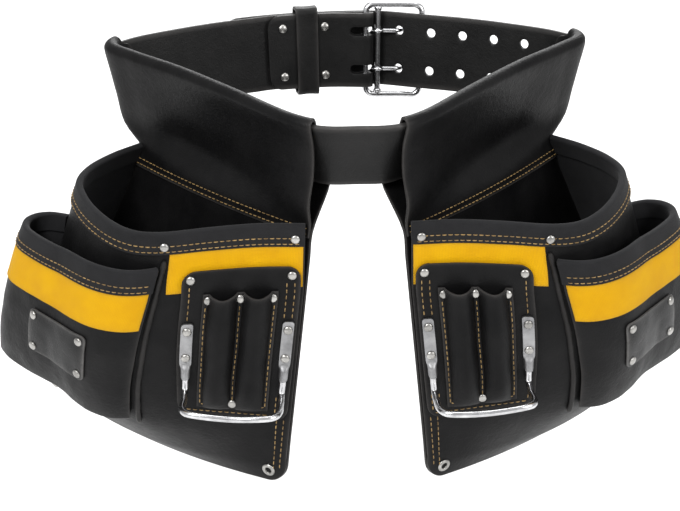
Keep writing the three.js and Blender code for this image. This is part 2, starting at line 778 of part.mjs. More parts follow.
// Outer pocket's wall, and the floor that turns in below to the main wall
const outerColumns = outerWall.map((row) => row.at);
const outerHeight = outerInnerDrop - outerRimDrop;
const outerRows = [0, outerHemHeight / outerHeight, 0.36, 0.6, 0.85, 1];

function outerBottom(at) {
  return mix(outerInnerDrop, outerFarDrop, Math.min(at / outerWall[5].at, 1));
}

function seamAt(share) {
  return mix(seamTop, seamBottom, share);
}

function outerPlace(at, row) {
  const along = follow(outerWall, 'at', 'along', at);
  const stand = follow(outerWall, 'at', 'out', at);
  const drop = mix(outerRimDrop, outerBottom(at), row);
  const share = (drop - rimDrop) / (innerDrop - rimDrop);
  const depth = pouchDepth * follow(depthByDrop, 'drop', 'depth', share);
  const free = pouchPoint(along, depth * stand + 2 * pocketThickness, drop);
  const beside = (2 * pipingRadius + clearance) / mainLength + 0.6 * at;
  const lift = pocketThickness + hemThickness + 3 * clearance + seamSpread * at;
  const sewn = mainSurface.at(seamAt(row) + beside, mainRowAt(seamAt(row) + beside, drop), lift);
  const release = THREE.MathUtils.smoothstep(at, 0, outerWall[3].at);
  const closing = THREE.MathUtils.smoothstep(at, outerWall[8].at, 1);
  const end = mix(outerEndTop, outerEndBottom, row);
  const closed = mainSurface.at(end, mainRowAt(end, drop), pocketThickness / 2 + 4 * clearance);
  return sewn.lerp(free, release).lerp(closed, closing);
}

const outerSurface = latticeSurface(outerColumns, outerRows, outerPlace);

function outerPocketLattice() {
  const landing = pocketThickness * 1.2 + seamGap;
  return outerColumns.map((at) => {
    const column = outerRows.map((row) => outerSurface.at(at, row, 0));
    const lands = follow(outerWall, 'at', 'lands', at) + (seamBottom - seamTop) * Math.max(1 - 4 * at, 0);
    const wallEnd = column[column.length - 1];
    const seam = mainSurface.at(lands, mainRowAt(lands, outerBottom(at) + 5), landing);
    column.push(wallEnd.clone().lerp(seam, 0.35).setZ(mix(wallEnd.z, seam.z, 0.75)));
    column.push(seam);
    return column;
  });
}

// Hem folded over a rim: down inside, over the top and down outside
function hemGeometry(surface, height, wallHeight) {
  const lift = pocketThickness / 2 + clearance + hemThickness / 2;
  const over = (clearance + hemThickness / 2) / wallHeight;
  const drop = height / wallHeight;
  const spots = [
    [drop * 0.8, -lift],
    [0, -lift],
    [-over, -lift / 2],
    [-over, lift / 2],
    [0, lift],
    [drop, lift],
  ];
  const lattice = surface.columns.map((at) => spots.map(([row, side]) => surface.at(at, row, side)));
  return shell(lattice, hemThickness);
}

function toolPanelFrame() {
  const across = (distance) => (toolPanelInset + distance) / mainLength;
  const down = (distance, place = toolPanelWidth) => {
    const slant = toolPanelSlant * (1 - place / toolPanelWidth) * distance / toolPanelHeight;
    return (toolPanelTop + distance + slant) / mainHeight;
  };
  return { across, down };
}

const panelLift = pocketThickness / 2 + clearance + bandThickness + 2 * clearance;
const panelFace = panelLift + toolPanelThickness;

function roundedOverlay(width, height, corner, across, down, surface, low, high) {
  const steps = [0, corner * 0.3, corner, ...[0.35, 0.65].map((share) => share * height)];
  const rows = [...steps, height - corner, height - corner * 0.3, height];
  const inset = (distance) => {
    const near = Math.min(distance, height - distance);
    const inside = THREE.MathUtils.clamp(corner - near, 0, corner);
    return corner - Math.sqrt(corner ** 2 - inside ** 2);
  };
  const columns = linesBetween(surface.columns, across(0), across(width));
  const face = (lift) => columns.map((column) => rows.map((distance) => {
    const share = (column - across(0)) / (across(width) - across(0));
    const place = mix(inset(distance), width - inset(distance), share);
    return surface.at(across(place), down(distance, place), lift);
  }));
  return slab(face(low), face(high));
}

// Slot pocket: a sheet raised into two tubes between three flat seams
function slotPocketGeometry(frame) {
  const start = (toolPanelWidth - slotPocketWidth) / 2;
  const tube = (slotPocketWidth - 3 * slotMargin) / 2;
  const profile = [];
  profile.push([0, 0]);
  for (const first of [slotMargin, 2 * slotMargin + tube]) {
    for (const share of [0, 0.2, 0.5, 0.8, 1]) {
      profile.push([first + share * tube, Math.max(Math.sin(Math.PI * share), 0) ** 0.6]);
    }
  }
  profile.push([slotPocketWidth, 0]);
  const lift = panelFace + 2 * clearance + slotPocketThickness / 2;
  const rows = [0, 0.45, 0.85, 1];
  const lattice = profile.map(([place, rise]) => rows.map((share) => {
    const distance = slotPocketTop + share * slotPocketHeight;
    const fullness = share < 1 ? mix(1, 0.75, share) : 0;
    const height = lift + slotDepth * rise * fullness;
    return mainSurface.at(frame.across(start + place), frame.down(distance, start + place), height);
  }));
  return shell(lattice, slotPocketThickness);
}

// Hammer loop: two riveted plates and a rod that runs down and out in a U between them
function loopPlaces() {
  const start = (toolPanelWidth - loopWidth) / 2;
  return [start, start + loopWidth];
}

function hammerLoopGeometry(frame) {
  const low = panelFace + clearance;
  const high = low + loopPlateThickness;
  const plates = loopPlaces().map((place) => {
    const plateRows = [0, 0.5, 1].map((share) => frame.down(loopPlateTop + share * loopPlateHeight, place));
    const columns = [-0.5, 0.5].map((side) => frame.across(place + side * loopPlateWidth));
    return overlay(mainSurface, columns, plateRows, low, high);
  });
  const [first, last] = loopPlaces();
  const plateEnd = loopPlateTop + loopPlateHeight;
  const rodLift = low + loopRodRadius;
  const spot = (place, distance, lift) => mainSurface.at(frame.across(place), frame.down(distance, place), lift);
  const straight = (place) => [spot(place, plateEnd - 8, rodLift), spot(place, plateEnd + 2, rodLift)];
  const firstEnd = spot(first, plateEnd + loopRodDrop - 2, rodLift);
  const lastEnd = spot(last, plateEnd + loopRodDrop - 2, rodLift);
  const side = lastEnd.clone().sub(firstEnd).setZ(0).normalize();
  const forth = new THREE.Vector3(side.y, -side.x, 0);
  const away = (base, across, reach, sink) => base.clone()
    .addScaledVector(side, across)
    .addScaledVector(forth, reach)
    .add(new THREE.Vector3(0, 0, -sink));
  const path = [
    ...straight(first),
    firstEnd,
    away(firstEnd, 0, 6, 3.4),
    away(firstEnd, 0, loopReach - loopBend, 5),
    away(firstEnd, loopBend * 0.3, loopReach - loopBend * 0.3, 5),
    away(firstEnd, loopBend, loopReach, 5),
    away(lastEnd, -loopBend, loopReach, 5),
    away(lastEnd, -loopBend * 0.3, loopReach - loopBend * 0.3, 5),
    away(lastEnd, 0, loopReach - loopBend, 5),
    away(lastEnd, 0, 6, 3.4),
    lastEnd,
    ...straight(last).reverse(),
  ];
  return joined([...plates, roundBar(path, loopRodRadius, 7)]);
}

// Corner eyelet along +Z: a flange in front and a barrel through both sheets
function eyeletGeometry(grip) {
  const barrel = eyeletBore + 0.8;
  const profile = [
    [eyeletBore, -grip],
    [barrel, -grip],
    [barrel, 0],
    [eyeletFlange, 0],
    [eyeletFlange - 0.8, 1],
    [eyeletBore, 1],
    [eyeletBore, -grip],
  ];
  const turned = new THREE.LatheGeometry(profile.map(([radius, height]) => new THREE.Vector2(radius, height)), 12);
  turned.rotateX(Math.PI / 2);
  return fromSolid(toSolid(turned));
}

// One pouch, modelled on the +X side; the other is its mirror image
function addPouch(sideName, mirror) {
  const flip = (vector) => new THREE.Vector3(vector.x * mirror, vector.y, vector.z);
  const flipped = (geometry) => {
    const points = [];
    const position = geometry.attributes.position;
    for (let k = 0; k < position.count; k += 1) {
      points.push(new THREE.Vector3(position.getX(k) * mirror, position.getY(k), position.getZ(k)));
    }
    return closedGeometry(points, Array.from(geometry.index.array));
  };
  const frame = toolPanelFrame();
  const rivets = [];
  const rivet = (name, at, row, face, grip, layers) => {
    const axis = mainSurface.normal(at, row);
    rivets.push({ name, seat: mainSurface.at(at, row, face + 0.3), axis, grip, layers });
  };

  const hemFace = pocketThickness / 2 + clearance + hemThickness;
  const hemMiddle = hemHeight * 0.6 / mainHeight;
  const throughHem = hemFace * 2 + 0.3;
  rivet('rim_rivet', 7 / mainLength, hemMiddle, hemFace, throughHem, ['main_rim', 'main_pocket']);
  rivet('seam_rivet', seamTop + 0.005, hemMiddle, hemFace, throughHem, ['main_rim', 'main_pocket']);

  const panelLayers = ['tool_panel', 'main_band', 'main_pocket'];
  const panelGrip = panelFace + pocketThickness / 2 + 0.3;
  for (const [name, place] of [['inner', 6], ['outer', toolPanelWidth - 6]]) {
    rivet(`panel_rivet_${name}`, frame.across(place), frame.down(6, place), panelFace, panelGrip, panelLayers);
  }

  const slotFace = panelFace + 2 * clearance + slotPocketThickness;
  const slotStart = (toolPanelWidth - slotPocketWidth) / 2;
  const slotLayers = ['slot_pocket', ...panelLayers];
  const slotSeams = [slotMargin / 2, slotPocketWidth / 2, slotPocketWidth - slotMargin / 2];
  for (const [name, place] of [['inner', slotSeams[0]], ['middle', slotSeams[1]], ['outer', slotSeams[2]]]) {
    const at = frame.across(slotStart + place);
    rivet(`slot_rivet_${name}`, at, frame.down(slotPocketTop + 5, slotStart + place), slotFace, slotFace + 1.3, slotLayers);
  }

  const plateFace = panelFace + clearance + loopPlateThickness;
  loopPlaces().forEach((place, column) => {
    [0.14, 0.62].forEach((share, row) => {
      const name = `loop_rivet_${['inner', 'outer'][column]}_${['top', 'low'][row]}`;
      const down = frame.down(loopPlateTop + share * loopPlateHeight, place);
      rivet(name, frame.across(place), down, plateFace, plateFace + 1.3, ['hammer_loop', ...panelLayers]);
    });
  });

  const throughSaddle = ['main_pocket', 'saddle'];
  rivet('corner_rivet', 0.79, 0.97, pocketThickness / 2 + 0.6, 9, throughSaddle);

  const pieces = {
    saddle: [shell(saddleLattice(), saddleThickness), leather],
    main_pocket: [overlay(mainSurface, mainColumns, mainRows, -pocketThickness / 2, pocketThickness / 2), leather],
    main_rim: [hemGeometry(mainSurface, hemHeight, mainHeight), suede],
    outer_pocket: [shell(outerPocketLattice(), pocketThickness), leather],
    outer_rim: [hemGeometry(outerSurface, outerHemHeight, outerHeight), suede],
  };

  const bandLow = pocketThickness / 2 + clearance;
  const bandTop = (hemHeight + 1) / mainHeight;
  const bandEnd = bandTop + bandHeight / mainHeight;
  const mainBandColumns = linesBetween(mainColumns, 0.004, seamTop - (pipingRadius + 1) / mainLength);
  const mainBandRows = linesBetween(mainRows, bandTop, bandEnd);
  const mainBand = overlay(mainSurface, mainBandColumns, mainBandRows, bandLow, bandLow + bandThickness);
  pieces.main_band = [mainBand, webbing];

  const outerBandTop = (outerHemHeight + 1) / outerHeight;
  const outerBandEnd = outerBandTop + outerBandHeight / outerHeight;
  const outerBandColumns = linesBetween(outerColumns, 0.01, outerWall[8].at);
  const outerBandRows = linesBetween(outerRows, outerBandTop, outerBandEnd);
  const outerBand = overlay(outerSurface, outerBandColumns, outerBandRows, bandLow, bandLow + bandThickness);
  pieces.outer_band = [outerBand, webbing];

  const pipingPath = [];
  const pipingLift = pocketThickness / 2 + clearance + pipingRadius;
  const pipingTop = (outerRimDrop - 10 - rimDrop) / mainHeight;
  const pipingEnd = (outerInnerDrop + 4 - rimDrop) / mainHeight;
  for (const row of linesBetween(mainRows, pipingTop, pipingEnd)) {
    const share = (row - pipingTop) / (pipingEnd - pipingTop);
    pipingPath.push(mainSurface.at(seamAt(share), row, pipingLift));
  }
  pieces.outer_piping = [roundBar(pipingPath, pipingRadius, 6), leather];

  const panel = roundedOverlay(
    toolPanelWidth, toolPanelHeight, toolPanelCorner, frame.across, frame.down, mainSurface, panelLift, panelFace,
  );
  pieces.tool_panel = [panel, leather];
  pieces.slot_pocket = [slotPocketGeometry(frame), leather];
  pieces.hammer_loop = [hammerLoopGeometry(frame), steel];

  const outerLength = pouchWidth * 0.95;
  const patchAcross = (distance) => patchFromEnd + distance / outerLength;
  const patchDown = (distance) => (patchTop + distance) / outerHeight;
  const patchLift = pocketThickness / 2 + 2.5 * clearance;
  const patch = roundedOverlay(
    patchWidth, patchHeight, 4, patchAcross, patchDown, outerSurface, patchLift, patchLift + patchThickness,
  );
  pieces.name_patch = [patch, leather];

  for (const spot of rivets) {
    for (const layer of spot.layers) {
      const middle = spot.seat.clone().addScaledVector(spot.axis, -spot.grip / 2);
      const cutter = drill(middle, spot.axis, rivetShankRadius + clearance, spot.grip / 2 + 1);
      pieces[layer][0] = cut(pieces[layer][0], [cutter]);
    }
  }

  const eyeletSpot = [eyeletAcross / mainLength, 1 - eyeletUp / mainHeight];
  const eyeletAxis = mainSurface.normal(...eyeletSpot);
  const eyeletSeat = mainSurface.at(...eyeletSpot, pocketThickness / 2 + 0.5);
  const eyeletGrip = 7;
  for (const layer of throughSaddle) {
    const cutter = drill(eyeletSeat, eyeletAxis, eyeletBore + 0.8 + clearance, eyeletGrip + 2, 10);
    pieces[layer][0] = cut(pieces[layer][0], [cutter]);
  }

  for (const [name, [geometry, look]] of Object.entries(pieces)) {
    addPiece(`${sideName}_${name}`, flipped(geometry), look);
  }
  for (const spot of rivets) {
    addRivet(`${sideName}_${spot.name}`, flip(spot.seat), flip(spot.axis), spot.grip);
  }
  const eyelet = addPiece(`${sideName}_corner_eyelet`, eyeletGeometry(eyeletGrip), nickel);
  eyelet.position.copy(flip(eyeletSeat));
  eyelet.quaternion.setFromUnitVectors(new THREE.Vector3(0, 0, 1), flip(eyeletAxis));
}

addPouch('right', 1);
addPouch('left', -1);

export default part;
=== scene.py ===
import math

import bpy
import numpy as np
from mathutils import Matrix, Vector, noise


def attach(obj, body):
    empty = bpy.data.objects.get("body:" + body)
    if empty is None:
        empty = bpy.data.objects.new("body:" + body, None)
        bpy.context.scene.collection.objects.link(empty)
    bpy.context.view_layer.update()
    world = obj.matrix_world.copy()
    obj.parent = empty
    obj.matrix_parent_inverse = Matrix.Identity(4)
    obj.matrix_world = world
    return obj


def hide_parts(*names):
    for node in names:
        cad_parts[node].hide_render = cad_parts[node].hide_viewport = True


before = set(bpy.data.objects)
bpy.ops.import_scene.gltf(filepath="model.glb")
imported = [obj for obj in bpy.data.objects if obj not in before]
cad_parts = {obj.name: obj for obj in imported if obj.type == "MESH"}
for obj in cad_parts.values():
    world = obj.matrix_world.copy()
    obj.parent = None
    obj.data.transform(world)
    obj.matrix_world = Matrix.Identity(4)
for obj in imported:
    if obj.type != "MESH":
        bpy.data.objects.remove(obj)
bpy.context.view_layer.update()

# Lengths in this script are millimetres until a mesh is made; the scene itself is in metres
MM = 0.001

# Sizes of the belt, as in the part's source
WAIST_HALF_WIDTH = 172
WAIST_HALF_DEPTH = 110.5
BELT_WIDTH = 58
BELT_THICKNESS = 3.5
LEAN_FRONT = 26
LEAN_BACK = 10
CLEARANCE = 0.4

# Sizes of the buckle and of the belt's two ends
WIRE_RADIUS = 2.4
ROLLER_RADIUS = 4
ROLLER_LENGTH = 54
FRAME_HEIGHT = 71
FRAME_CORNER = 6
ANCHOR_AT = 19
TONGUE_BAR_AT = 28.4
FOLD_SLOT_START = 7
FOLD_SLOT_HEIGHT = 7
ROLLER_AT = 61
TONGUE_RADIUS = 1.3
TONGUE_HOLE_AT = 45
HOLE_PITCH = 25
HOLE_COLUMNS = 7
HOLE_DIAMETER = 8
HOLE_CLOSED = 0.9
HOLE_ROW_SPACING = 30
BILLET_REACH = 88
FOLD_REACH = 58
STRAP_CORNER = 10
STRAP_EDGE = 0.45
KEEPER_AT = -27
KEEPER_WIDTH = 17
KEEPER_THICKNESS = 2.2
KEEPER_SLACK = 2.6
KEEPER_BEND = 3.2
KEEPER_EDGE = 0.6
STRAP_RIVET_COLUMNS = (-46, -13)
STRAP_RIVET_SPACING = 38

# Sizes of the pouches
SADDLE_START = 27
SADDLE_LENGTH = 228
SADDLE_THICKNESS = 2.4
SADDLE_CORNER = 11
POUCH_WIDTH = 193
POUCH_DEPTH = 84
POUCH_TURN = -3.1
POUCH_BACK = 2.5
POUCH_OUT = 12
TUNNEL_DROP = 56
INNER_DROP = 263
OUTER_DROP = 249
PANEL_BOW = 5
BOTTOM_BOW = 4
PANEL_CORNER = 14
POCKET_THICKNESS = 2
RIM_DROP = 52
HEM_HEIGHT = 15
HEM_THICKNESS = 1.4
BAND_HEIGHT = 32
BAND_THICKNESS = 1
OUTER_RIM_DROP = 82
OUTER_INNER_DROP = 212
OUTER_FAR_DROP = 197
OUTER_HEM_HEIGHT = 17
OUTER_BAND_HEIGHT = 30
PIPING_RADIUS = 2
SEAM_TOP = 0.345
SEAM_BOTTOM = 0.41
SEAM_SPREAD = 85
OUTER_END_TOP = 0.8
OUTER_END_BOTTOM = 0.84

# Sizes of the fittings on each pouch
PANEL_INSET = 2.5
PANEL_TOP = 30
PANEL_WIDTH = 82
PANEL_HEIGHT = 117
PANEL_SLANT = 8
PANEL_THICKNESS = 2
TOOL_PANEL_CORNER = 9
SLOT_TOP = 17
SLOT_HEIGHT = 92
SLOT_WIDTH = 52
SLOT_THICKNESS = 1.6
SLOT_DEPTH = 12
SLOT_MARGIN = 7.6
PLATE_TOP = 40
PLATE_HEIGHT = 44
PLATE_WIDTH = 8
PLATE_THICKNESS = 2
LOOP_WIDTH = 70
LOOP_REACH = 31
LOOP_ROD_RADIUS = 2.5
LOOP_ROD_DROP = 12
LOOP_BEND = 10
SOCKET_LENGTH = 13
PATCH_WIDTH = 60
PATCH_HEIGHT = 40
PATCH_THICKNESS = 1.6
PATCH_CORNER = 4
PATCH_TOP = 58
PATCH_FROM_END = 0.17
EYELET_BORE = 2.4
EYELET_FLANGE = 5.2
EYELET_GRIP = 6.5
EYELET_ACROSS = 15
EYELET_UP = 10
RIVET_CAP_RADIUS = 3.4
RIVET_CAP_HEIGHT = 1.8
RIVET_SHANK_RADIUS = 1.4

# How far the sewing sinks a pocket's wall into the leather behind it, at its foot and at its outer end, and
# how much of the room for the flap is given up at that end
FOOT_SINK = 1.0
END_SINK = 0.9
END_FLATTENED = 0.85

# How far down the main wall, as a share of its height, the flap's hem holds it off, at its start and its end
FLAP_REACH = (0.24, 0.07)

# Thread: the pitch of the stitches, and the length and radius of one
STITCH_PITCH = 4.4
STITCH_LENGTH = 3.3
THREAD_RADIUS = 0.42

# Rows of thread, by their distance in from an edge; the saddle's side seams are shares of its width
HEM_SEAMS = (2.2, 6.6)
FLAP_SEAMS = (3.0, 7.5)
TUNNEL_SEAMS = (-3.5, 1)
SADDLE_SIDE_SEAMS = (0.02, 0.044)
PANEL_SEAMS = (4.0, 9.5)
PANEL_OUTER_SEAM = 5.5
PANEL_FOOT_SEAM = 3.4
SLOT_SEAM = 2.2

# Rivets: how far in they sit from the edges of the patch, the tool panel, the slots and the large pocket's
# rim, and how far down each steel plate, as shares of its height
PATCH_RIVET_INSET = 5
PANEL_RIVET_INSET = 6
SLOT_RIVET_DOWN = 5
RIM_RIVET_INSET = 7
PLATE_RIVETS = (("top", 0.14), ("low", 0.62))

# Gap between a hem and the band below it
BAND_GAP = 0.3

# One stitch: places along it as shares of its length, and its lift and size there as shares of its radius
STITCH_SHAPE = {
    "step": (-0.5, -0.32, 0, 0.32, 0.5),
    "lift": (-0.5, 0.4, 0.75, 0.4, -0.5),
    "size": (0.55, 0.95, 1.0, 0.95, 0.55),
}

# The waist loop in plan, from the front's middle round the +X side to the back's middle
WAIST_PLAN = {
    "across": (0, 0.13, 0.22, 0.465, 0.71, 0.905, 0.99, 0.92, 0.72, 0.525, 0.29, 0),
    "forth": (-1, -0.99, -0.905, -0.47, -0.045, 0.245, 0.41, 0.545, 0.72, 0.85, 0.955, 1),
}

# The saddle's hanging panel: at each drop, its inner and outer edge in the pouch's plan
PANEL_SECTIONS = {
    "drop": (0, 0.47, 1),
    "inner_along": (0, 0.04, 0.1),
    "inner_out": (-0.02, 0.05, 0.1),
    "outer_along": (1, 1.18, 1.39),
    "outer_out": (-0.08, 0.19, 0.5),
}

# The main pocket's wall in plan, as shares of the panel's width and of the pouch's depth
MAIN_WALL = {
    "at": (0, 0.12, 0.24, 0.356, 0.427, 0.49, 0.58, 0.674, 0.753, 0.842, 0.925, 1),
    "along": (0, 0.12, 0.24, 0.36, 0.44, 0.53, 0.66, 0.79, 0.89, 0.96, 0.99, 1),
    "out": (0, 0.27, 0.54, 0.81, 0.96, 1.02, 1.01, 0.94, 0.82, 0.58, 0.28, 0),
    "rise": (3, 3, 0, -4, -4, -2, 1, 4, 6, 7, 8, 8),
}

# The outer pocket's wall in plan, and where on the main wall each line of it lands below
OUTER_WALL = {
    "at": (0, 0.092, 0.243, 0.4, 0.56, 0.667, 0.75, 0.82, 0.887, 1),
    "along": (0.37, 0.45, 0.59, 0.73, 0.87, 0.965, 1.02, 1.035, 1.01, 0.955),
    "out": (0.93, 1.05, 1.13, 1.17, 1.17, 1.14, 1.05, 0.92, 0.8, 0.71),
    "lands": (0.39, 0.45, 0.54, 0.635, 0.735, 0.79, 0.815, 0.83, 0.84, 0.85),
}

# How far the pockets stand out on their way down, as a share of the pouch's depth
DEPTH_BY_DROP = {"drop": (0, 0.25, 0.5, 0.75, 0.93, 1), "depth": (1, 1.03, 0.93, 0.66, 0.22, 0)}

# Where the strap starts to step outward before its folded end
STEP_IN = FOLD_REACH + 12

# The strap's way through the buckle, each as a place along the back and an offset outward
BILLET_PLACES = (
    -BILLET_REACH, -STEP_IN, -FOLD_REACH, STRAP_RIVET_COLUMNS[0] + 2, KEEPER_AT,
    STRAP_RIVET_COLUMNS[1], ANCHOR_AT - 10, ANCHOR_AT + 2, TONGUE_BAR_AT, TONGUE_BAR_AT + 9,
    ROLLER_AT - 11, ROLLER_AT, ROLLER_AT + 11,
)
BILLET_ROUTE = {
    "place": BILLET_PLACES,
    "out": (7.2, 7.2, 7.2, 7.2, 7.2, 7.2, 8.8, 9.8, 9.7, 7.4, 3.4, 0.9, 0),
}

# Camera: where the waist loop's centre falls in the photograph's frame, and from how far it is seen
PHOTO_SIZE = (680, 511)
CAMERA_ELEVATION = 24.2
CAMERA_AZIMUTH = -3
CAMERA_DISTANCE = 2000
CAMERA_FOCAL_PX = 2700
CAMERA_AIM_PX = (350, 106)
CAMERA_AIM_POINT = (0, -13, 0)
SENSOR_WIDTH = 36


def new_object(name, data):
    piece = bpy.data.objects.new(name, data)
    bpy.context.scene.collection.objects.link(piece)
    return piece


def place_camera():
    elevation, azimuth = math.radians(CAMERA_ELEVATION), math.radians(CAMERA_AZIMUTH)
    level = math.cos(elevation)
    back = Vector((math.sin(azimuth) * level, -math.cos(azimuth) * level, math.sin(elevation)))
    right = Vector((math.cos(azimuth), math.sin(azimuth), 0))
    up = back.cross(right)
    x = (CAMERA_AIM_PX[0] - PHOTO_SIZE[0] / 2) / CAMERA_FOCAL_PX * CAMERA_DISTANCE
    y = -(CAMERA_AIM_PX[1] - PHOTO_SIZE[1] / 2) / CAMERA_FOCAL_PX * CAMERA_DISTANCE
    position = Vector(CAMERA_AIM_POINT) - x * right - y * up + CAMERA_DISTANCE * back
    data = bpy.data.cameras.new("camera")
    data.sensor_width = SENSOR_WIDTH
    data.lens = CAMERA_FOCAL_PX / PHOTO_SIZE[0] * SENSOR_WIDTH
    data.clip_end = 50
    camera = new_object("camera", data)
    turn = Matrix((right, up, back)).transposed().to_4x4()
    camera.matrix_world = Matrix.Translation(position * MM) @ turn
    bpy.context.scene.camera = camera


place_camera()


# Materials

class Look:
    """One material, with the few kinds of node that the looks below are made of."""

    def __init__(self, name):
        self.material = bpy.data.materials.new(name)
        self.material.use_nodes = True
        self.nodes = self.material.node_tree.nodes
        self.shader = self.nodes["Principled BSDF"]
        self.place = self.nodes.new("ShaderNodeTexCoord").outputs["Object"]

    def put(self, value, socket):
        """A number or a colour is set on the socket itself, another node's output is linked to it."""
        if isinstance(value, tuple):
            socket.default_value = (*value, 1)
        elif isinstance(value, (int, float)):
            socket.default_value = value
        else:
            self.material.node_tree.links.new(value, socket)

    def shade(self, **inputs):
        for key, value in inputs.items():
            self.put(value, self.shader.inputs[SHADER_INPUTS[key]])

    def texture(self, kind, scale, **values):
        node = self.nodes.new("ShaderNodeTex" + kind)
        node.inputs["Scale"].default_value = scale
        for key, value in values.items():
            node.inputs[key.capitalize()].default_value = value
        self.put(self.place, node.inputs["Vector"])
        return node.outputs["Distance" if kind == "Voronoi" else "Fac"]

    def wear(self):
        node = self.nodes.new("ShaderNodeAttribute")
        node.attribute_name = "wear"
        return node.outputs["Fac"]

    def ramp(self, source, *stops):
        node = self.nodes.new("ShaderNodeValToRGB")
        for element, (position, colour) in zip(node.color_ramp.elements, stops):
            element.position = position
            element.color = (*colour, 1)
        self.put(source, node.inputs["Fac"])
        return node.outputs["Color"]

    def remap(self, source, low, high):
        node = self.nodes.new("ShaderNodeMapRange")
        self.put(low, node.inputs["To Min"])
        self.put(high, node.inputs["To Max"])
        self.put(source, node.inputs["Value"])
        return node.outputs["Result"]

    def math(self, operation, *values):
        node = self.nodes.new("ShaderNodeMath")
        node.operation = operation
        for socket, value in zip(node.inputs, values):
            self.put(value, socket)
        return node.outputs[0]

    def mix(self, factor, first, second):
        node = self.nodes.new("ShaderNodeMix")
        node.data_type = "RGBA"
        self.put(factor, node.inputs["Factor"])
        self.put(first, node.inputs[6])
        self.put(second, node.inputs[7])
        return node.outputs[2]

    def bump(self, height, distance, strength, below=None):
        node = self.nodes.new("ShaderNodeBump")
        self.put(distance, node.inputs["Distance"])
        self.put(strength, node.inputs["Strength"])
        self.put(height, node.inputs["Height"])
        if below is not None:
            self.put(below, node.inputs["Normal"])
        return node.outputs["Normal"]


SHADER_INPUTS = {
    "colour": "Base Color", "roughness": "Roughness", "normal": "Normal", "metallic": "Metallic",
    "specular": "Specular IOR Level", "sheen": "Sheen Weight", "sheen_roughness": "Sheen Roughness",
}


def leather_material(name, dark, light, rub, rough, grain, shine):
    """Oiled leather: uneven dye, pebbled grain with fine creases, and rubbed edges."""
    look = Look(name)
    cloudy = look.texture("Noise", 28, detail=5, roughness=0.6)
    creases = look.texture("Noise", 210, detail=6, roughness=0.65, distortion=0.6)
    scuffs = look.texture("Noise", 95, detail=8, roughness=0.75)
    pebbles = look.texture("Voronoi", 820)
    dye = look.ramp(cloudy, (0.3, dark), (0.72, light))
    worn = look.math("MULTIPLY", look.wear(), scuffs)
    fine = look.bump(pebbles, 0.00012 * grain, 0.55)
    look.shade(
        colour=look.mix(worn, dye, rub), roughness=look.remap(creases, rough - 0.09, rough + 0.13),
        normal=look.bump(creases, 0.0005 * grain, 0.5, fine), specular=shine,
    )
    return look.material


def suede_material():
    """Black suede: no shine, a fine nap and patches brushed lighter and darker."""
    look = Look("suede")
    brushed = look.texture("Noise", 60, detail=6, roughness=0.7)
    nap = look.texture("Noise", 1700, detail=3, roughness=0.8)
    base = look.ramp(brushed, (0.3, (0.004, 0.004, 0.0045)), (0.75, (0.012, 0.012, 0.013)))
    look.shade(
        colour=look.mix(look.remap(nap, 0, 0.35), base, (0.026, 0.026, 0.028)),
        roughness=look.remap(brushed, 0.85, 1.0), normal=look.bump(nap, 0.0004, 0.6),
        specular=0.2, sheen=0.06, sheen_roughness=0.4,
    )
    return look.material


def webbing_material():
    """Golden yellow band: a tight plain weave that runs along the band, with painted shade darkening its
    ribs.
    """
    look = Look("webbing")
    parts = look.nodes.new("ShaderNodeSeparateXYZ")
    look.put(look.nodes.new("ShaderNodeUVMap").outputs["UV"], parts.inputs[0])
    warp, weft = (look.math("SINE", look.math("MULTIPLY", parts.outputs[axis], 2 * math.pi / pitch))
                  for axis, pitch in (("X", 0.0011), ("Y", 0.0008)))
    ribs = look.math("ADD", look.math("MULTIPLY", warp, weft), look.math("MULTIPLY", weft, 0.6))
    faded = look.texture("Noise", 45, detail=5, roughness=0.6)
    base = look.ramp(faded, (0.3, (0.57, 0.29, 0.001)), (0.7, (0.65, 0.355, 0.0015)))
    # Painted shade: the colour darkens in step with the weave's ribs, standing in for shade between the
    # threads
    shaded_weave = look.mix(look.remap(ribs, 0.0, 0.55), base, (0.39, 0.19, 0.0005))
    look.shade(
        colour=look.mix(look.math("MULTIPLY", look.wear(), 0.5), shaded_weave, (0.35, 0.19, 0.02)),
        roughness=look.remap(faded, 0.5, 0.68), normal=look.bump(ribs, 0.00025, 0.6), specular=0.1,
    )
    return look.material


def thread_material():
    """Waxed tan thread, twisted, a little uneven in colour."""
    look = Look("thread")
    uneven = look.texture("Noise", 160, detail=3)
    twist = look.texture("Wave", 1500, distortion=1.5)
    look.shade(
        colour=look.ramp(uneven, (0.3, (0.12, 0.07, 0.02)), (0.7, (0.34, 0.22, 0.08))),
        roughness=look.remap(uneven, 0.45, 0.7), normal=look.bump(twist, 0.0001, 0.5),
    )
    return look.material


def metal_material(name, dark, light, smooth, rough, scratch):
    """Bright metal with fine scratches and slight tarnish."""
    look = Look(name)
    tarnish = look.texture("Noise", 70, detail=5, roughness=0.65)
    scratches = look.texture("Noise", 900, detail=4, roughness=0.7, distortion=1.0)
    look.shade(
        colour=look.ramp(tarnish, (0.3, dark), (0.65, light)), roughness=look.remap(tarnish, rough, smooth),
        normal=look.bump(scratches, scratch, 0.4), metallic=1,
    )
    return look.material


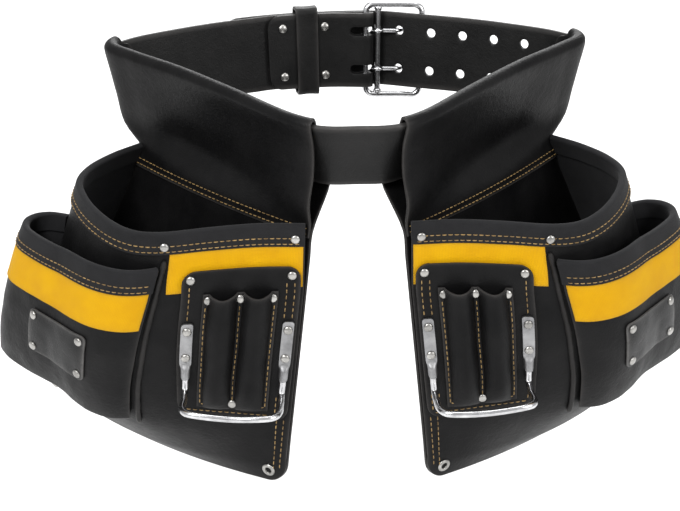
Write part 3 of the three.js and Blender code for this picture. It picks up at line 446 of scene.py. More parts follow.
LEATHER = leather_material("leather", (0.0025, 0.0025, 0.0027), (0.0075, 0.0073, 0.0075),
                           (0.05, 0.047, 0.045), 0.42, 1.3, 0.1)
BELT_LEATHER = leather_material("belt_leather", (0.003, 0.003, 0.003), (0.0085, 0.0083, 0.0082),
                                (0.055, 0.052, 0.05), 0.43, 1.0, 0.16)
PATCH_LEATHER = leather_material("patch_leather", (0.0015, 0.0015, 0.0016), (0.004, 0.004, 0.0042),
                                 (0.16, 0.155, 0.15), 0.27, 0.5, 0.15)
SUEDE = suede_material()
WEBBING = webbing_material()
THREAD = thread_material()
STEEL = metal_material("steel", (0.38, 0.38, 0.39), (0.66, 0.66, 0.67), 0.16, 0.3, 0.00006)
PLATE_STEEL = metal_material("plate_steel", (0.2, 0.2, 0.205), (0.34, 0.34, 0.345), 0.38, 0.55, 0.00012)
NICKEL = metal_material("nickel", (0.2, 0.195, 0.185), (0.46, 0.45, 0.43), 0.26, 0.42, 0.00008)


# Curves and lattices

def follow(table, key, column, x):
    """Smooth curve through a table: one column's value where the key column is x."""
    xs = np.asarray(table[key], float)
    ys = np.asarray(table[column], float)
    x = np.asarray(x, float)
    k = np.clip(np.searchsorted(xs, x, side="left") - 1, 0, len(xs) - 2)
    slope = np.empty_like(ys)
    slope[1:-1] = (ys[2:] - ys[:-2]) / (xs[2:] - xs[:-2])
    slope[0] = (ys[1] - ys[0]) / (xs[1] - xs[0])
    slope[-1] = (ys[-1] - ys[-2]) / (xs[-1] - xs[-2])
    span = xs[k + 1] - xs[k]
    s = (x - xs[k]) / span
    rise = ys[k + 1] - ys[k]
    start, end = slope[k] * span, slope[k + 1] * span
    return ys[k] + s * (start + s * (3 * rise - 2 * start - end + s * (start + end - 2 * rise)))


def mix(low, high, share):
    return low + (high - low) * share


def spread(*values):
    """Numbers and arrays, all brought to one shape."""
    return np.broadcast_arrays(*(np.asarray(value, float) for value in values))


def unit(vectors):
    return vectors / np.linalg.norm(vectors, axis=-1, keepdims=True)


def full_turn(count):
    return np.linspace(0, 2 * math.pi, count, endpoint=False)


def smooth_step(x, low, high):
    share = np.clip((x - low) / (high - low), 0, 1)
    return share * share * (3 - 2 * share)


def smooth_spans(points, steps, closed):
    """Centripetal spline through points, each span cut into equal steps; the end point is left off."""
    if closed:
        padded = np.concatenate([points[-1:], points, points[:2]])
        spans = len(points)
    else:
        padded = np.concatenate([[2 * points[0] - points[1]], points, [2 * points[-1] - points[-2]]])
        spans = len(points) - 1
    p0, p1, p2, p3 = (padded[k:k + spans, None, :] for k in range(4))
    d0, d1, d2 = (np.maximum(np.sqrt(np.linalg.norm(b - a, axis=-1, keepdims=True)), 1e-6)
                  for a, b in ((p0, p1), (p1, p2), (p2, p3)))
    m1 = ((p1 - p0) / d0 - (p2 - p0) / (d0 + d1) + (p2 - p1) / d1) * d1
    m2 = ((p2 - p1) / d1 - (p3 - p1) / (d1 + d2) + (p3 - p2) / d2) * d1
    t = np.linspace(0, 1, steps, endpoint=False)[None, :, None]
    curve = p1 + t * (m1 + t * (3 * (p2 - p1) - 2 * m1 - m2 + t * (m1 + m2 - 2 * (p2 - p1))))
    return curve.reshape(-1, points.shape[1])


def smooth_line(points, count, closed=False):
    """Centripetal spline through points, sampled at equal steps along its length."""
    points = np.asarray(points, float)
    dense = smooth_spans(points, 40, closed)
    dense = np.concatenate([dense, points[:1] if closed else points[-1:]])
    return resample(dense, count, closed)


def spline_rows(points, steps):
    """Centripetal spline through points with the same number of steps in every span."""
    points = np.asarray(points, float)
    dense = smooth_spans(points, steps, False)
    return np.concatenate([dense, points[-1:]])


def steps_along(line):
    """Distance from the start of a line to each of its points."""
    return np.concatenate([[0], np.cumsum(np.linalg.norm(np.diff(line, axis=0), axis=1))])


def sample(line, steps, at):
    """Points of a line at the given distances from its start."""
    return np.stack([np.interp(at, steps, line[:, k]) for k in range(line.shape[1])], axis=-1)


def resample(line, count, closed=False):
    steps = steps_along(line)
    at = np.linspace(0, steps[-1], count + 1)[:-1] if closed else np.linspace(0, steps[-1], count)
    return sample(line, steps, at)


def rounded_ring(low, high, corner, turns, count):
    """Equal steps round a rectangle with rounded corners, given by its low and its high corner."""
    left, right = low[0] + corner, high[0] - corner
    bottom, top = low[1] + corner, high[1] - corner
    line = []
    for quarter, (x, y) in enumerate(((right, top), (left, top), (left, bottom), (right, bottom))):
        for angle in np.radians(90 * quarter + np.linspace(0, 90, turns)):
            line.append((x + corner * math.cos(angle), y + corner * math.sin(angle)))
    return resample(np.array(line + line[:1]), count, closed=True)


def waist_line():
    half = np.stack([np.array(WAIST_PLAN["across"]) * WAIST_HALF_WIDTH,
                     np.array(WAIST_PLAN["forth"]) * WAIST_HALF_DEPTH], axis=1)
    other = half[1:-1][::-1] * (-1, 1)
    line = smooth_line(np.concatenate([half, other]), 6000, closed=True)
    return np.concatenate([line, line[:1]])


WAIST = waist_line()
WAIST_STEPS = steps_along(WAIST)
WAIST_LENGTH = WAIST_STEPS[-1]


def waist_at(arc):
    return sample(WAIST, WAIST_STEPS, np.mod(arc, WAIST_LENGTH))


def belt_point(arc, out, height):
    """Place on the belt: arc from the front's middle, offset outward, height on the strap."""
    arc, out, height = spread(arc, out, height)
    point = waist_at(arc)
    tangent = unit(waist_at(arc + 1.5) - waist_at(arc - 1.5))
    outward = np.stack([tangent[..., 1], -tangent[..., 0]], axis=-1)
    frontness = np.clip((1 - point[..., 1] / WAIST_HALF_DEPTH) / 2, 0, 1)
    lean = np.radians(mix(LEAN_BACK, LEAN_FRONT, frontness ** 1.5))
    plan = point + outward * (height * np.sin(lean) + out * np.cos(lean))[..., None]
    return np.concatenate([plan, (height * np.cos(lean) - out * np.sin(lean))[..., None]], axis=-1)


def back_point(place, out, height):
    return belt_point(WAIST_LENGTH / 2 - np.asarray(place, float), out, height)


def lattice_normals(points):
    across = np.empty_like(points)
    across[1:-1] = points[2:] - points[:-2]
    across[0] = points[1] - points[0]
    across[-1] = points[-1] - points[-2]
    down = np.empty_like(points)
    down[:, 1:-1] = points[:, 2:] - points[:, :-2]
    down[:, 0] = points[:, 1] - points[:, 0]
    down[:, -1] = points[:, -1] - points[:, -2]
    normals = np.cross(down, across)
    return normals / np.maximum(np.linalg.norm(normals, axis=-1, keepdims=True), 1e-9)


class Surface:
    """Lattice surface that other sheets lie on: any place on it, lifted by any height."""

    def __init__(self, columns, rows, place):
        self.columns = columns
        self.rows = rows
        self.points = place(columns[:, None], rows[None, :])
        self.normals = lattice_normals(self.points)

    def blend(self, lattice, column, row):
        i = np.clip(np.searchsorted(self.columns, column) - 1, 0, len(self.columns) - 2)
        j = np.clip(np.searchsorted(self.rows, row) - 1, 0, len(self.rows) - 2)
        a = ((column - self.columns[i]) / (self.columns[i + 1] - self.columns[i]))[..., None]
        b = ((row - self.rows[j]) / (self.rows[j + 1] - self.rows[j]))[..., None]
        near = lattice[i, j] * (1 - b) + lattice[i, j + 1] * b
        far = lattice[i + 1, j] * (1 - b) + lattice[i + 1, j + 1] * b
        return near * (1 - a) + far * a

    def at(self, column, row, lift=0.0):
        column, row, lift = spread(column, row, lift)
        return self.blend(self.points, column, row) + self.blend(self.normals, column, row) * lift[..., None]

    def normal(self, column, row):
        return unit(self.blend(self.normals, *spread(column, row)))


# Meshes

def add_object(name, vertices, faces, materials, mirror=1, uv=None, wear=None, face_material=None, sharp=35):
    """Mesh object in metres from millimetre vertices, turned so that its faces point out."""
    vertices = np.array(vertices, float)
    vertices[:, 0] *= mirror
    faces = [tuple(face) for face in faces]
    first, second, third = (vertices[[face[k] for face in faces]] for k in range(3))
    if np.einsum("ij,ij->", first, np.cross(second, third)) < 0:
        faces = [face[::-1] for face in faces]
    mesh = bpy.data.meshes.new(name)
    mesh.from_pydata((vertices * MM).tolist(), [], faces)
    mesh.polygons.foreach_set("use_smooth", [True] * len(mesh.polygons))
    loops = np.empty(len(mesh.loops), np.int32)
    mesh.loops.foreach_get("vertex_index", loops)
    if uv is not None:
        layer = mesh.uv_layers.new(name="UVMap")
        layer.data.foreach_set("uv", (np.asarray(uv) * MM)[loops].astype(np.float32).ravel())
    values = np.zeros(len(vertices)) if wear is None else np.asarray(wear)
    mesh.attributes.new("wear", "FLOAT", "POINT").data.foreach_set("value", values.astype(np.float32))
    for material in materials:
        mesh.materials.append(material)
    if face_material is not None:
        mesh.polygons.foreach_set("material_index", np.asarray(face_material, np.int32))
    mesh.set_sharp_from_angle(angle=math.radians(sharp))
    mesh.update()
    piece = new_object(name, mesh)
    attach(piece, "root")
    return piece


def lattice_lengths(points):
    """Distances along a lattice's columns and rows, as places on the flat sheet."""
    places = []
    for axis in (0, 1):
        steps = np.linalg.norm(np.diff(points, axis=axis), axis=-1).mean(axis=1 - axis)
        places.append(np.concatenate([[0], np.cumsum(steps)]))
    return np.meshgrid(*places, indexing="ij")


def cell_faces(index):
    """Four-sided faces between the neighbouring places of a lattice of vertex numbers."""
    return np.stack([index[:-1, :-1], index[1:, :-1], index[1:, 1:], index[:-1, 1:]], axis=-1).reshape(-1, 4)


def ring_faces(index):
    """Four-sided faces from each ring of vertex numbers to the next ring."""
    here, following = index[:-1], index[1:]
    return np.stack([here, np.roll(here, -1, 1), np.roll(following, -1, 1), following], -1).reshape(-1, 4)


def slab_mesh(low, high, edge):
    """Closed sheet between two lattices, with softened edges: vertices, faces, flat places and wear."""
    columns, rows = low.shape[:2]
    u, v = lattice_lengths((low + high) / 2)
    ring = [(i, 0) for i in range(columns)]
    ring += [(columns - 1, j) for j in range(1, rows)]
    ring += [(i, rows - 1) for i in range(columns - 2, -1, -1)]
    ring += [(0, j) for j in range(rows - 2, 0, -1)]
    ring_i = np.array([i for i, j in ring])
    ring_j = np.array([j for i, j in ring])
    inner_i = np.clip(ring_i, 1, columns - 2)
    inner_j = np.clip(ring_j, 1, rows - 2)
    true_low, true_high = low[ring_i, ring_j], high[ring_i, ring_j]
    low, high = low.copy(), high.copy()
    for face in (low, high):
        inward = face[inner_i, inner_j] - face[ring_i, ring_j]
        reach = np.maximum(np.linalg.norm(inward, axis=1, keepdims=True), 1e-6)
        face[ring_i, ring_j] += inward * np.minimum(edge / reach, 0.5)
    loops = [mix(true_low, true_high, share) for share in (0.22, 0.5, 0.78)]
    grid = columns * rows
    vertices = np.concatenate([low.reshape(-1, 3), high.reshape(-1, 3)] + loops)
    quads = cell_faces(np.arange(grid).reshape(columns, rows))
    rings = [ring_i * rows + ring_j]
    rings += [2 * grid + k * len(ring) + np.arange(len(ring)) for k in range(len(loops))]
    rings += [grid + ring_i * rows + ring_j]
    faces = np.concatenate([quads[:, ::-1], quads + grid, ring_faces(np.array(rings))])
    ring_uv = np.stack([u[ring_i, ring_j], v[ring_i, ring_j]], axis=-1)
    flat = np.stack([u, v], axis=-1).reshape(-1, 2)
    uv = np.concatenate([flat, flat] + [ring_uv] * len(loops))
    nearest = np.minimum(np.minimum(u, u.max() - u), np.minimum(v, v.max() - v))
    near = np.exp(-nearest.reshape(-1) / 1.6)
    wear = np.concatenate([near, near] + [np.ones(len(ring))] * len(loops))
    return vertices, faces, uv, wear


def sheet(name, points, thickness, materials, mirror, edge):
    """Sheet of one thickness about a lattice; a second material, where given, covers its inner face."""
    half = lattice_normals(points) * thickness / 2
    vertices, faces, uv, wear = slab_mesh(points - half, points + half, edge)
    chosen = np.zeros(len(faces), int)
    chosen[:(points.shape[0] - 1) * (points.shape[1] - 1)] = len(materials) - 1
    return add_object(name, vertices, faces, materials, mirror, uv, wear, chosen)


def laid_sheet(name, surface, column, row, low, high, material, mirror, edge=0.35):
    """Sheet that lies on a surface between two lifts."""
    vertices, faces, uv, wear = slab_mesh(surface.at(column, row, low), surface.at(column, row, high), edge)
    return add_object(name, vertices, faces, [material], mirror, uv, wear)


def tube_faces(count, sides, closed=False):
    index = np.arange(count * sides).reshape(count, sides)
    if closed:
        return [tuple(q) for q in ring_faces(np.concatenate([index, index[:1]]))]
    return [tuple(q) for q in ring_faces(index)] + [tuple(index[0][::-1]), tuple(index[-1])]


def tube_mesh(path, radius, sides, closed=False, start=None):
    """Round bar along points; the radius may differ from point to point. Flat ends."""
    path = np.asarray(path, float)
    count = len(path)
    radius = np.broadcast_to(np.asarray(radius, float), (count,))
    if closed:
        tangents = np.roll(path, -1, axis=0) - np.roll(path, 1, axis=0)
    else:
        tangents = np.gradient(path, axis=0)
    tangents = unit(tangents)
    reference = np.array((0, 0, 1.0)) if abs(tangents[0][2]) < 0.9 else np.array((1.0, 0, 0))
    carried = np.cross(tangents[0], reference) if start is None else np.asarray(start, float)
    angles = full_turn(sides)
    rings = []
    for point, tangent, size in zip(path, tangents, radius):
        carried = unit(carried - tangent * carried.dot(tangent))
        other = np.cross(tangent, carried)
        rings.append(point + size * (np.cos(angles)[:, None] * carried + np.sin(angles)[:, None] * other))
    return np.concatenate(rings), tube_faces(count, sides, closed)


def joined_meshes(parts):
    vertices, faces, offset = [], [], 0
    for part_vertices, part_faces in parts:
        vertices.append(part_vertices)
        faces += [tuple(int(v) + offset for v in face) for face in part_faces]
        offset += len(part_vertices)
    return np.concatenate(vertices), faces


def turned_mesh(profile, sides=28):
    """Turned shape about +Z from (radius, height) pairs; a radius of zero closes to a point."""
    angles = full_turn(sides)
    vertices, rings = [], []
    for radius, height in profile:
        if radius < 1e-6:
            rings.append([len(vertices)] * sides)
            vertices.append((0, 0, height))
        else:
            rings.append(list(range(len(vertices), len(vertices) + sides)))
            vertices += [(radius * math.cos(a), radius * math.sin(a), height) for a in angles]
    faces = []
    for low, high in zip(rings[:-1], rings[1:]):
        for k in range(sides):
            loop = [low[k], low[(k + 1) % sides], high[(k + 1) % sides], high[k]]
            face = tuple(dict.fromkeys(loop))
            if len(face) > 2:
                faces.append(face)
    return np.array(vertices, float), faces


def seated(vertices, seat, axis):
    """Vertices modelled about +Z, moved to a seat and turned to an axis."""
    turn = np.array(Vector((0, 0, 1)).rotation_difference(Vector(axis)).to_matrix())
    return vertices @ turn.T + np.asarray(seat)


# A rivet's cap in profile, as shares of its radius and of its height
RIVET_CAP = [(1, 0), (1, 0.28), (0.93, 0.52), (0.78, 0.74), (0.56, 0.9), (0.3, 0.98), (0, 1)]


def rivet_mesh(seat, axis, grip, back=None):
    """Domed cap rivet, with a flat washer at the back where one is given."""
    shank = RIVET_SHANK_RADIUS
    profile = [(0, -grip), (shank, -grip), (shank, 0)]
    if back is not None:
        washer = [(0, -1), (back * 0.9, -1), (back, -0.6), (back, 0), (shank, 0)]
        profile = [(radius, height - grip) for radius, height in washer] + [(shank, 0)]
    profile += [(RIVET_CAP_RADIUS * r, RIVET_CAP_HEIGHT * h) for r, h in RIVET_CAP]
    vertices, faces = turned_mesh(profile)
    return seated(vertices, seat, axis), faces


class Thread:
    """Collects the stitches of one pouch, each a short raised length of thread."""

    def __init__(self):
        self.parts = []

    def row(self, points, normals):
        """Stitches along a line that lies on a surface with these normals."""
        lengths = steps_along(points)
        count = max(int(lengths[-1] / STITCH_PITCH), 1)
        middles = (np.arange(count) + 0.5) * lengths[-1] / count
        steps, lifts, sizes = (np.array(STITCH_SHAPE[key]) for key in ("step", "lift", "size"))
        spots = middles[:, None] + steps[None, :] * STITCH_LENGTH
        lifts = lifts * THREAD_RADIUS
        sizes = sizes * THREAD_RADIUS
        centre, up = sample(points, lengths, spots), sample(normals, lengths, spots)
        up = unit(up)
        centre = centre + up * lifts[None, :, None]
        along = unit(centre[:, -1] - centre[:, 0])
        across = unit(np.cross(up, along[:, None, :]))
        sides = 6
        angles = full_turn(sides)
        ring = np.cos(angles)[:, None] * across[:, :, None, :] + np.sin(angles)[:, None] * up[:, :, None, :]
        vertices = centre[:, :, None, :] + ring * sizes[None, :, None, None]
        faces = tube_faces(len(steps), sides)
        for stitch in vertices.reshape(count, len(steps) * sides, 3):
            self.parts.append((stitch, faces))

    def on(self, surface, column, row, lift):
        column, row = spread(column, row)
        self.row(surface.at(column, row, lift), surface.normal(column, row))

    def finish(self, name, mirror):
        vertices, faces = joined_meshes(self.parts)
        return add_object(name, vertices, faces, [THREAD], mirror, sharp=80)


# The strap: cut flat with its holes and slots, then bent along its route

PLY_OFFSET = BELT_THICKNESS / 2 + 0.2
FOLD_RADIUS = WIRE_RADIUS + CLEARANCE + BELT_THICKNESS / 2
CUT_REACH = 4.0
HALF_TURN = np.linspace(-math.pi / 2, math.pi / 2, 9)


def strap_route():
    half = WAIST_LENGTH / 2
    route = [(half - place, out) for place, out in zip(BILLET_ROUTE["place"], BILLET_ROUTE["out"])]
    start, end = half - BILLET_PLACES[-1], STEP_IN - half
    route += [(arc, 0) for arc in np.linspace(start, end, 60)[1:-1]]
    ply = [(place, PLY_OFFSET) for place in (-FOLD_REACH, -46, -30, -8)]
    ply += [(ANCHOR_AT - 9, FOLD_RADIUS * 0.85)]
    turn = [(ANCHOR_AT + FOLD_RADIUS * math.sin(angle), FOLD_RADIUS * math.cos(angle))
            for angle in np.linspace(0, math.pi, 13)]
    back = [(place, -out) for place, out in ply[::-1]]
    route += [(-half - place, out) for place, out in [(-STEP_IN, 0)] + ply + turn + back]
    return smooth_line(route, 5000)


ROUTE = strap_route()
ROUTE_STEPS = steps_along(ROUTE)
ROUTE_TANGENT = unit(np.gradient(ROUTE, axis=0))


def route_place(distance, side):
    """Arc and offset at a distance along the strap and at a place through its thickness."""
    arc, out, forth, away = (np.interp(distance, ROUTE_STEPS, line) for line in
                             (ROUTE[:, 0], ROUTE[:, 1], ROUTE_TANGENT[:, 0], ROUTE_TANGENT[:, 1]))
    return arc + side * away, out - side * forth


def distance_of(place, billet):
    """Distance along the strap to a place on the back, on its free end or on its folded end."""
    front = int(np.argmin(np.abs(ROUTE[:, 0])))
    fold = int(np.argmin(ROUTE[:, 0]))
    part = slice(0, front) if billet else slice(front, fold)
    target = (WAIST_LENGTH if billet else -WAIST_LENGTH) / 2 - place
    order = np.argsort(ROUTE[part, 0])
    return float(np.interp(target, ROUTE[part, 0][order], ROUTE_STEPS[part][order]))


def evaluated_mesh(piece):
    bpy.context.view_layer.update()
    graph = bpy.context.evaluated_depsgraph_get()
    mesh = bpy.data.meshes.new_from_object(piece.evaluated_get(graph))
    bpy.data.objects.remove(piece)
    return mesh


def plain_object(name, vertices, faces):
    mesh = bpy.data.meshes.new(name)
    mesh.from_pydata([tuple(map(float, v)) for v in vertices], [], [tuple(map(int, f)) for f in faces])
    return new_object(name, mesh)


def flat_hole(distance, height, radius):
    return tube_mesh([(distance, height, -CUT_REACH), (distance, height, CUT_REACH)], radius, 32)


def flat_slot(start, end, height, width):
    """Cutter for a slot with round ends, along the strap."""
    radius = width / 2
    outline = [(end - radius + radius * math.cos(a), height + radius * math.sin(a)) for a in HALF_TURN]
    outline += [(start + radius - radius * math.cos(a), height - radius * math.sin(a)) for a in HALF_TURN]
    count = len(outline)
    vertices = [(x, y, z) for z in (-CUT_REACH, CUT_REACH) for x, y in outline]
    faces = [tuple(range(count))[::-1], tuple(range(count, 2 * count))]
    faces += [(k, (k + 1) % count, count + (k + 1) % count, count + k) for k in range(count)]
    return np.array(vertices), faces


def flat_strap():
    """The strap laid flat, as distance along it, height on it and thickness, with rounded corners."""
    total = ROUTE_STEPS[-1]
    near = np.array((0, 0.6, 1.4, 2.6, 4.2, 6.2, 8.6, 11.5))
    stations = np.concatenate([near, np.arange(14.5, total - 14, 3.1), total - near[::-1]])
    heights = np.linspace(-1, 1, 15) * BELT_WIDTH / 2
    end = np.minimum(stations, total - stations)
    inside = np.clip(STRAP_CORNER - end, 0, STRAP_CORNER)
    trim = STRAP_CORNER - np.sqrt(STRAP_CORNER ** 2 - inside ** 2)
    scale = (BELT_WIDTH / 2 - trim) / (BELT_WIDTH / 2)
    x = np.repeat(stations[:, None], len(heights), 1)
    y = heights[None, :] * scale[:, None]
    columns, rows = x.shape
    faces_xyz = [np.stack([x, y, np.full_like(x, z)], -1).reshape(-1, 3)
                 for z in (-BELT_THICKNESS / 2, BELT_THICKNESS / 2)]
    grid = np.arange(columns * rows).reshape(columns, rows)
    quads = cell_faces(grid)
    ring = np.concatenate([grid[:, 0], grid[-1, 1:], grid[-2::-1, -1], grid[0, -2:0:-1]])
    wall = ring_faces(np.stack([ring, ring + columns * rows]))
    faces = np.concatenate([quads[:, ::-1], quads + columns * rows, wall])
    return plain_object("strap_flat", np.concatenate(faces_xyz), faces)


def strap_cutters():
    """Cutters for the punched holes and for the slots in the fold that the tongues pass through."""
    cutters = []
    for column in range(-1, HOLE_COLUMNS - 1):
        distance = distance_of(TONGUE_HOLE_AT + column * HOLE_PITCH, True)
        for row in (-1, 1):
            cutters.append(flat_hole(distance, row * HOLE_ROW_SPACING / 2, HOLE_DIAMETER / 2 * HOLE_CLOSED))
    fold_start = distance_of(FOLD_SLOT_START, False)
    fold_turn = distance_of(ANCHOR_AT - 2, False)
    fold_length = 2 * (fold_turn - fold_start) + math.pi * FOLD_RADIUS + 4
    for row in (-1, 1):
        height = row * HOLE_ROW_SPACING / 2
        cutters.append(flat_slot(fold_start, fold_start + fold_length, height, FOLD_SLOT_HEIGHT))
    return cutters


def build_strap():
    body = flat_strap()
    cutter = plain_object("strap_cutter", *joined_meshes(strap_cutters()))
    modifier = body.modifiers.new("holes", "BOOLEAN")
    modifier.operation = "DIFFERENCE"
    modifier.solver = "EXACT"
    modifier.object = cutter
    bevel = body.modifiers.new("edges", "BEVEL")
    bevel.width = STRAP_EDGE
    bevel.segments = 2
    bevel.limit_method = "ANGLE"
    bevel.angle_limit = math.radians(50)
    mesh = evaluated_mesh(body)
    bpy.data.objects.remove(cutter)

    flat = np.array([v.co for v in mesh.vertices], float)
    faces = [tuple(p.vertices) for p in mesh.polygons]
    bpy.data.meshes.remove(mesh)
    arc, out = route_place(flat[:, 0], flat[:, 2])
    vertices = belt_point(arc, out, flat[:, 1])
    edge = BELT_WIDTH / 2 - np.abs(flat[:, 1])
    rim = np.exp(-edge / 1.3)
    side = np.exp(-(BELT_THICKNESS / 2 - np.abs(flat[:, 2])) / 0.2)
    holes = np.where(side < 0.6, 1.0, 0.0)
    wear = np.clip(rim + holes, 0, 1)
    strap = add_object("strap", vertices, faces, [BELT_LEATHER], 1, flat[:, :2], wear, sharp=50)
    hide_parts("belt_strap")


build_strap()


def build_keeper():
    inner = PLY_OFFSET + BELT_THICKNESS / 2 + CLEARANCE + KEEPER_THICKNESS / 2
    outer = BILLET_ROUTE["out"][4] + BELT_THICKNESS / 2 + CLEARANCE + KEEPER_THICKNESS / 2
    half = BELT_WIDTH / 2 + CLEARANCE + KEEPER_SLACK + KEEPER_THICKNESS / 2
    path = rounded_ring((-inner, -half), (outer, half), KEEPER_BEND, 4, 150)
    tangent = unit(np.roll(path, -1, axis=0) - np.roll(path, 1, axis=0))
    away = np.stack([tangent[:, 1], -tangent[:, 0]], -1)
    width, wall = KEEPER_WIDTH / 2, KEEPER_THICKNESS / 2
    profile = rounded_ring((-width, -wall), (width, wall), KEEPER_EDGE, 4, 72)
    dip = 0.5 * np.cos(profile[:, 0] / width * math.pi)
    lift = profile[:, 1] - np.where(np.abs(profile[:, 0]) < width, dip * 0.4, 0)
    out = path[:, None, 0] + away[:, None, 0] * lift[None, :]
    height = path[:, None, 1] + away[:, None, 1] * lift[None, :]
    place = KEEPER_AT + np.repeat(profile[None, :, 0], len(path), 0)
    vertices = back_point(place, out, height).reshape(-1, 3)
    index = np.arange(len(vertices)).reshape(len(path), len(profile))
    faces = ring_faces(np.concatenate([index, index[:1]]))
    wear = np.tile(np.exp(-(width - np.abs(profile[:, 0])) / 1.2), len(path))
    steps = np.repeat(np.arange(len(path))[:, None] * 1.0, len(profile), 1).ravel()
    uv = np.stack([steps, np.tile(profile[:, 0], len(path))], -1)
    keeper = add_object("keeper", vertices, faces, [BELT_LEATHER], 1, uv, wear, sharp=50)
    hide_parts("belt_keeper")


build_keeper()


# Buckle

ROLLER_OUT = BILLET_ROUTE["out"][11] + BELT_THICKNESS / 2 + CLEARANCE + ROLLER_RADIUS


def frame_out(place):
    return ROLLER_OUT * (place - ANCHOR_AT) / (ROLLER_AT - ANCHOR_AT)


def build_buckle():
    half = FRAME_HEIGHT / 2
    path = rounded_ring((ANCHOR_AT, -half), (ROLLER_AT, half), FRAME_CORNER, 10, 160)
    ring = back_point(path[:, 0], frame_out(path[:, 0]), path[:, 1])
    bar_heights = np.linspace(-half, half, 24)
    bar = back_point(np.full(24, TONGUE_BAR_AT), frame_out(TONGUE_BAR_AT), bar_heights)
    collars = []
    for end in (-1, 1):
        heights = np.linspace(half - 4.5, half - 1.5, 6) * end
        points = back_point(np.full(6, TONGUE_BAR_AT), frame_out(TONGUE_BAR_AT), heights)
        collars.append(tube_mesh(points, [2.3, 3.0, 3.1, 3.1, 3.0, 2.3], 20))
    parts = [tube_mesh(ring, WIRE_RADIUS, 20, closed=True), tube_mesh(bar, WIRE_RADIUS, 20)] + collars
    buckle = add_object("buckle_wire", *joined_meshes(parts), [STEEL], sharp=60)
    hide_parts("buckle_frame")

    reach = ROLLER_LENGTH / 2
    inside = np.linspace(-reach + 2, reach - 2, 20)
    heights = np.concatenate([[-reach, -reach + 0.5], inside, [reach - 0.5, reach]])
    sizes = np.full(len(heights), ROLLER_RADIUS, float)
    sizes[[0, -1]] -= 0.5
    axis = back_point(np.full(len(heights), ROLLER_AT), ROLLER_OUT, heights)
    outside = tube_mesh(axis, sizes, 28)[0]
    bore = tube_mesh(axis, WIRE_RADIUS + CLEARANCE, 28, start=outside[0] - axis[0])[0]
    vertices = np.concatenate([outside, bore])
    index = np.arange(len(vertices)).reshape(2, len(heights), 28)
    wall = ring_faces(np.concatenate([index[0], index[1, ::-1], index[0, :1]]))
    roller = add_object("roller", vertices, wall, [STEEL], sharp=60)
    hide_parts("buckle_roller")

    eye_radius = WIRE_RADIUS * 0.9 + CLEARANCE + TONGUE_RADIUS
    eye_out = frame_out(TONGUE_BAR_AT)
    rest = ROLLER_OUT + ROLLER_RADIUS + CLEARANCE + TONGUE_RADIUS
    billet_out = float(follow(BILLET_ROUTE, "place", "out", TONGUE_HOLE_AT))
    for name, height in (("upper", HOLE_ROW_SPACING / 2), ("lower", -HOLE_ROW_SPACING / 2)):
        angles = full_turn(30)
        eye_place = TONGUE_BAR_AT + eye_radius * np.cos(angles)
        eye = back_point(eye_place, eye_out + eye_radius * np.sin(angles), height)
        shank = [(TONGUE_BAR_AT + eye_radius, eye_out - 0.6),
                 (mix(TONGUE_BAR_AT + eye_radius, TONGUE_HOLE_AT, 0.8), mix(eye_out, billet_out, 0.3)),
                 (TONGUE_HOLE_AT, billet_out),
                 (mix(TONGUE_HOLE_AT, ROLLER_AT, 0.2), mix(billet_out, rest, 0.45)),
                 (ROLLER_AT - 4, rest), (ROLLER_AT + 4, rest - 0.4)]
        line = smooth_line(shank, 60)
        sizes = TONGUE_RADIUS * 1.25 * np.clip((1.02 - np.linspace(0, 1, 60)) / 0.3, 0.2, 1) ** 0.6
        shaft = tube_mesh(back_point(line[:, 0], line[:, 1], height), sizes, 14)
        parts = joined_meshes([tube_mesh(eye, TONGUE_RADIUS, 14, closed=True), shaft])
        tongue = add_object("tongue_" + name, *parts, [STEEL], sharp=60)
        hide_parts("buckle_tongue_" + name)


build_buckle()


def back_axis(place):
    return unit(back_point(place, 1, 0) - back_point(place, 0, 0))


def build_strap_rivets():
    face = PLY_OFFSET + BELT_THICKNESS / 2 + 0.1
    spots = [(place, row) for place in STRAP_RIVET_COLUMNS for row in (1, -1)]
    for number, (place, row) in enumerate(spots, 1):
        seat = back_point(place, -face, row * STRAP_RIVET_SPACING / 2)
        vertices, faces = rivet_mesh(seat, -back_axis(place), 2 * face, back=3.2)
        rivet = add_object(f"strap_rivet_{number}", vertices, faces, [NICKEL], sharp=50)
        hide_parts(f"belt_rivet_{number}")


build_strap_rivets()


# Pouch plan: its own along and out directions, set from where its saddle sits on the belt

SADDLE_INNER = belt_point(SADDLE_START, 0, 0)
SADDLE_OUTER = belt_point(SADDLE_START + SADDLE_LENGTH, 0, 0)
SADDLE_CHORD = SADDLE_OUTER - SADDLE_INNER
POUCH_ANGLE = math.atan2(SADDLE_CHORD[1], SADDLE_CHORD[0]) + math.radians(POUCH_TURN)
ALONG = np.array((math.cos(POUCH_ANGLE), math.sin(POUCH_ANGLE)))
OUTWARD = np.array((math.sin(POUCH_ANGLE), -math.cos(POUCH_ANGLE)))
POUCH_CORNER_POINT = SADDLE_INNER[:2] - POUCH_BACK * ALONG + POUCH_OUT * OUTWARD


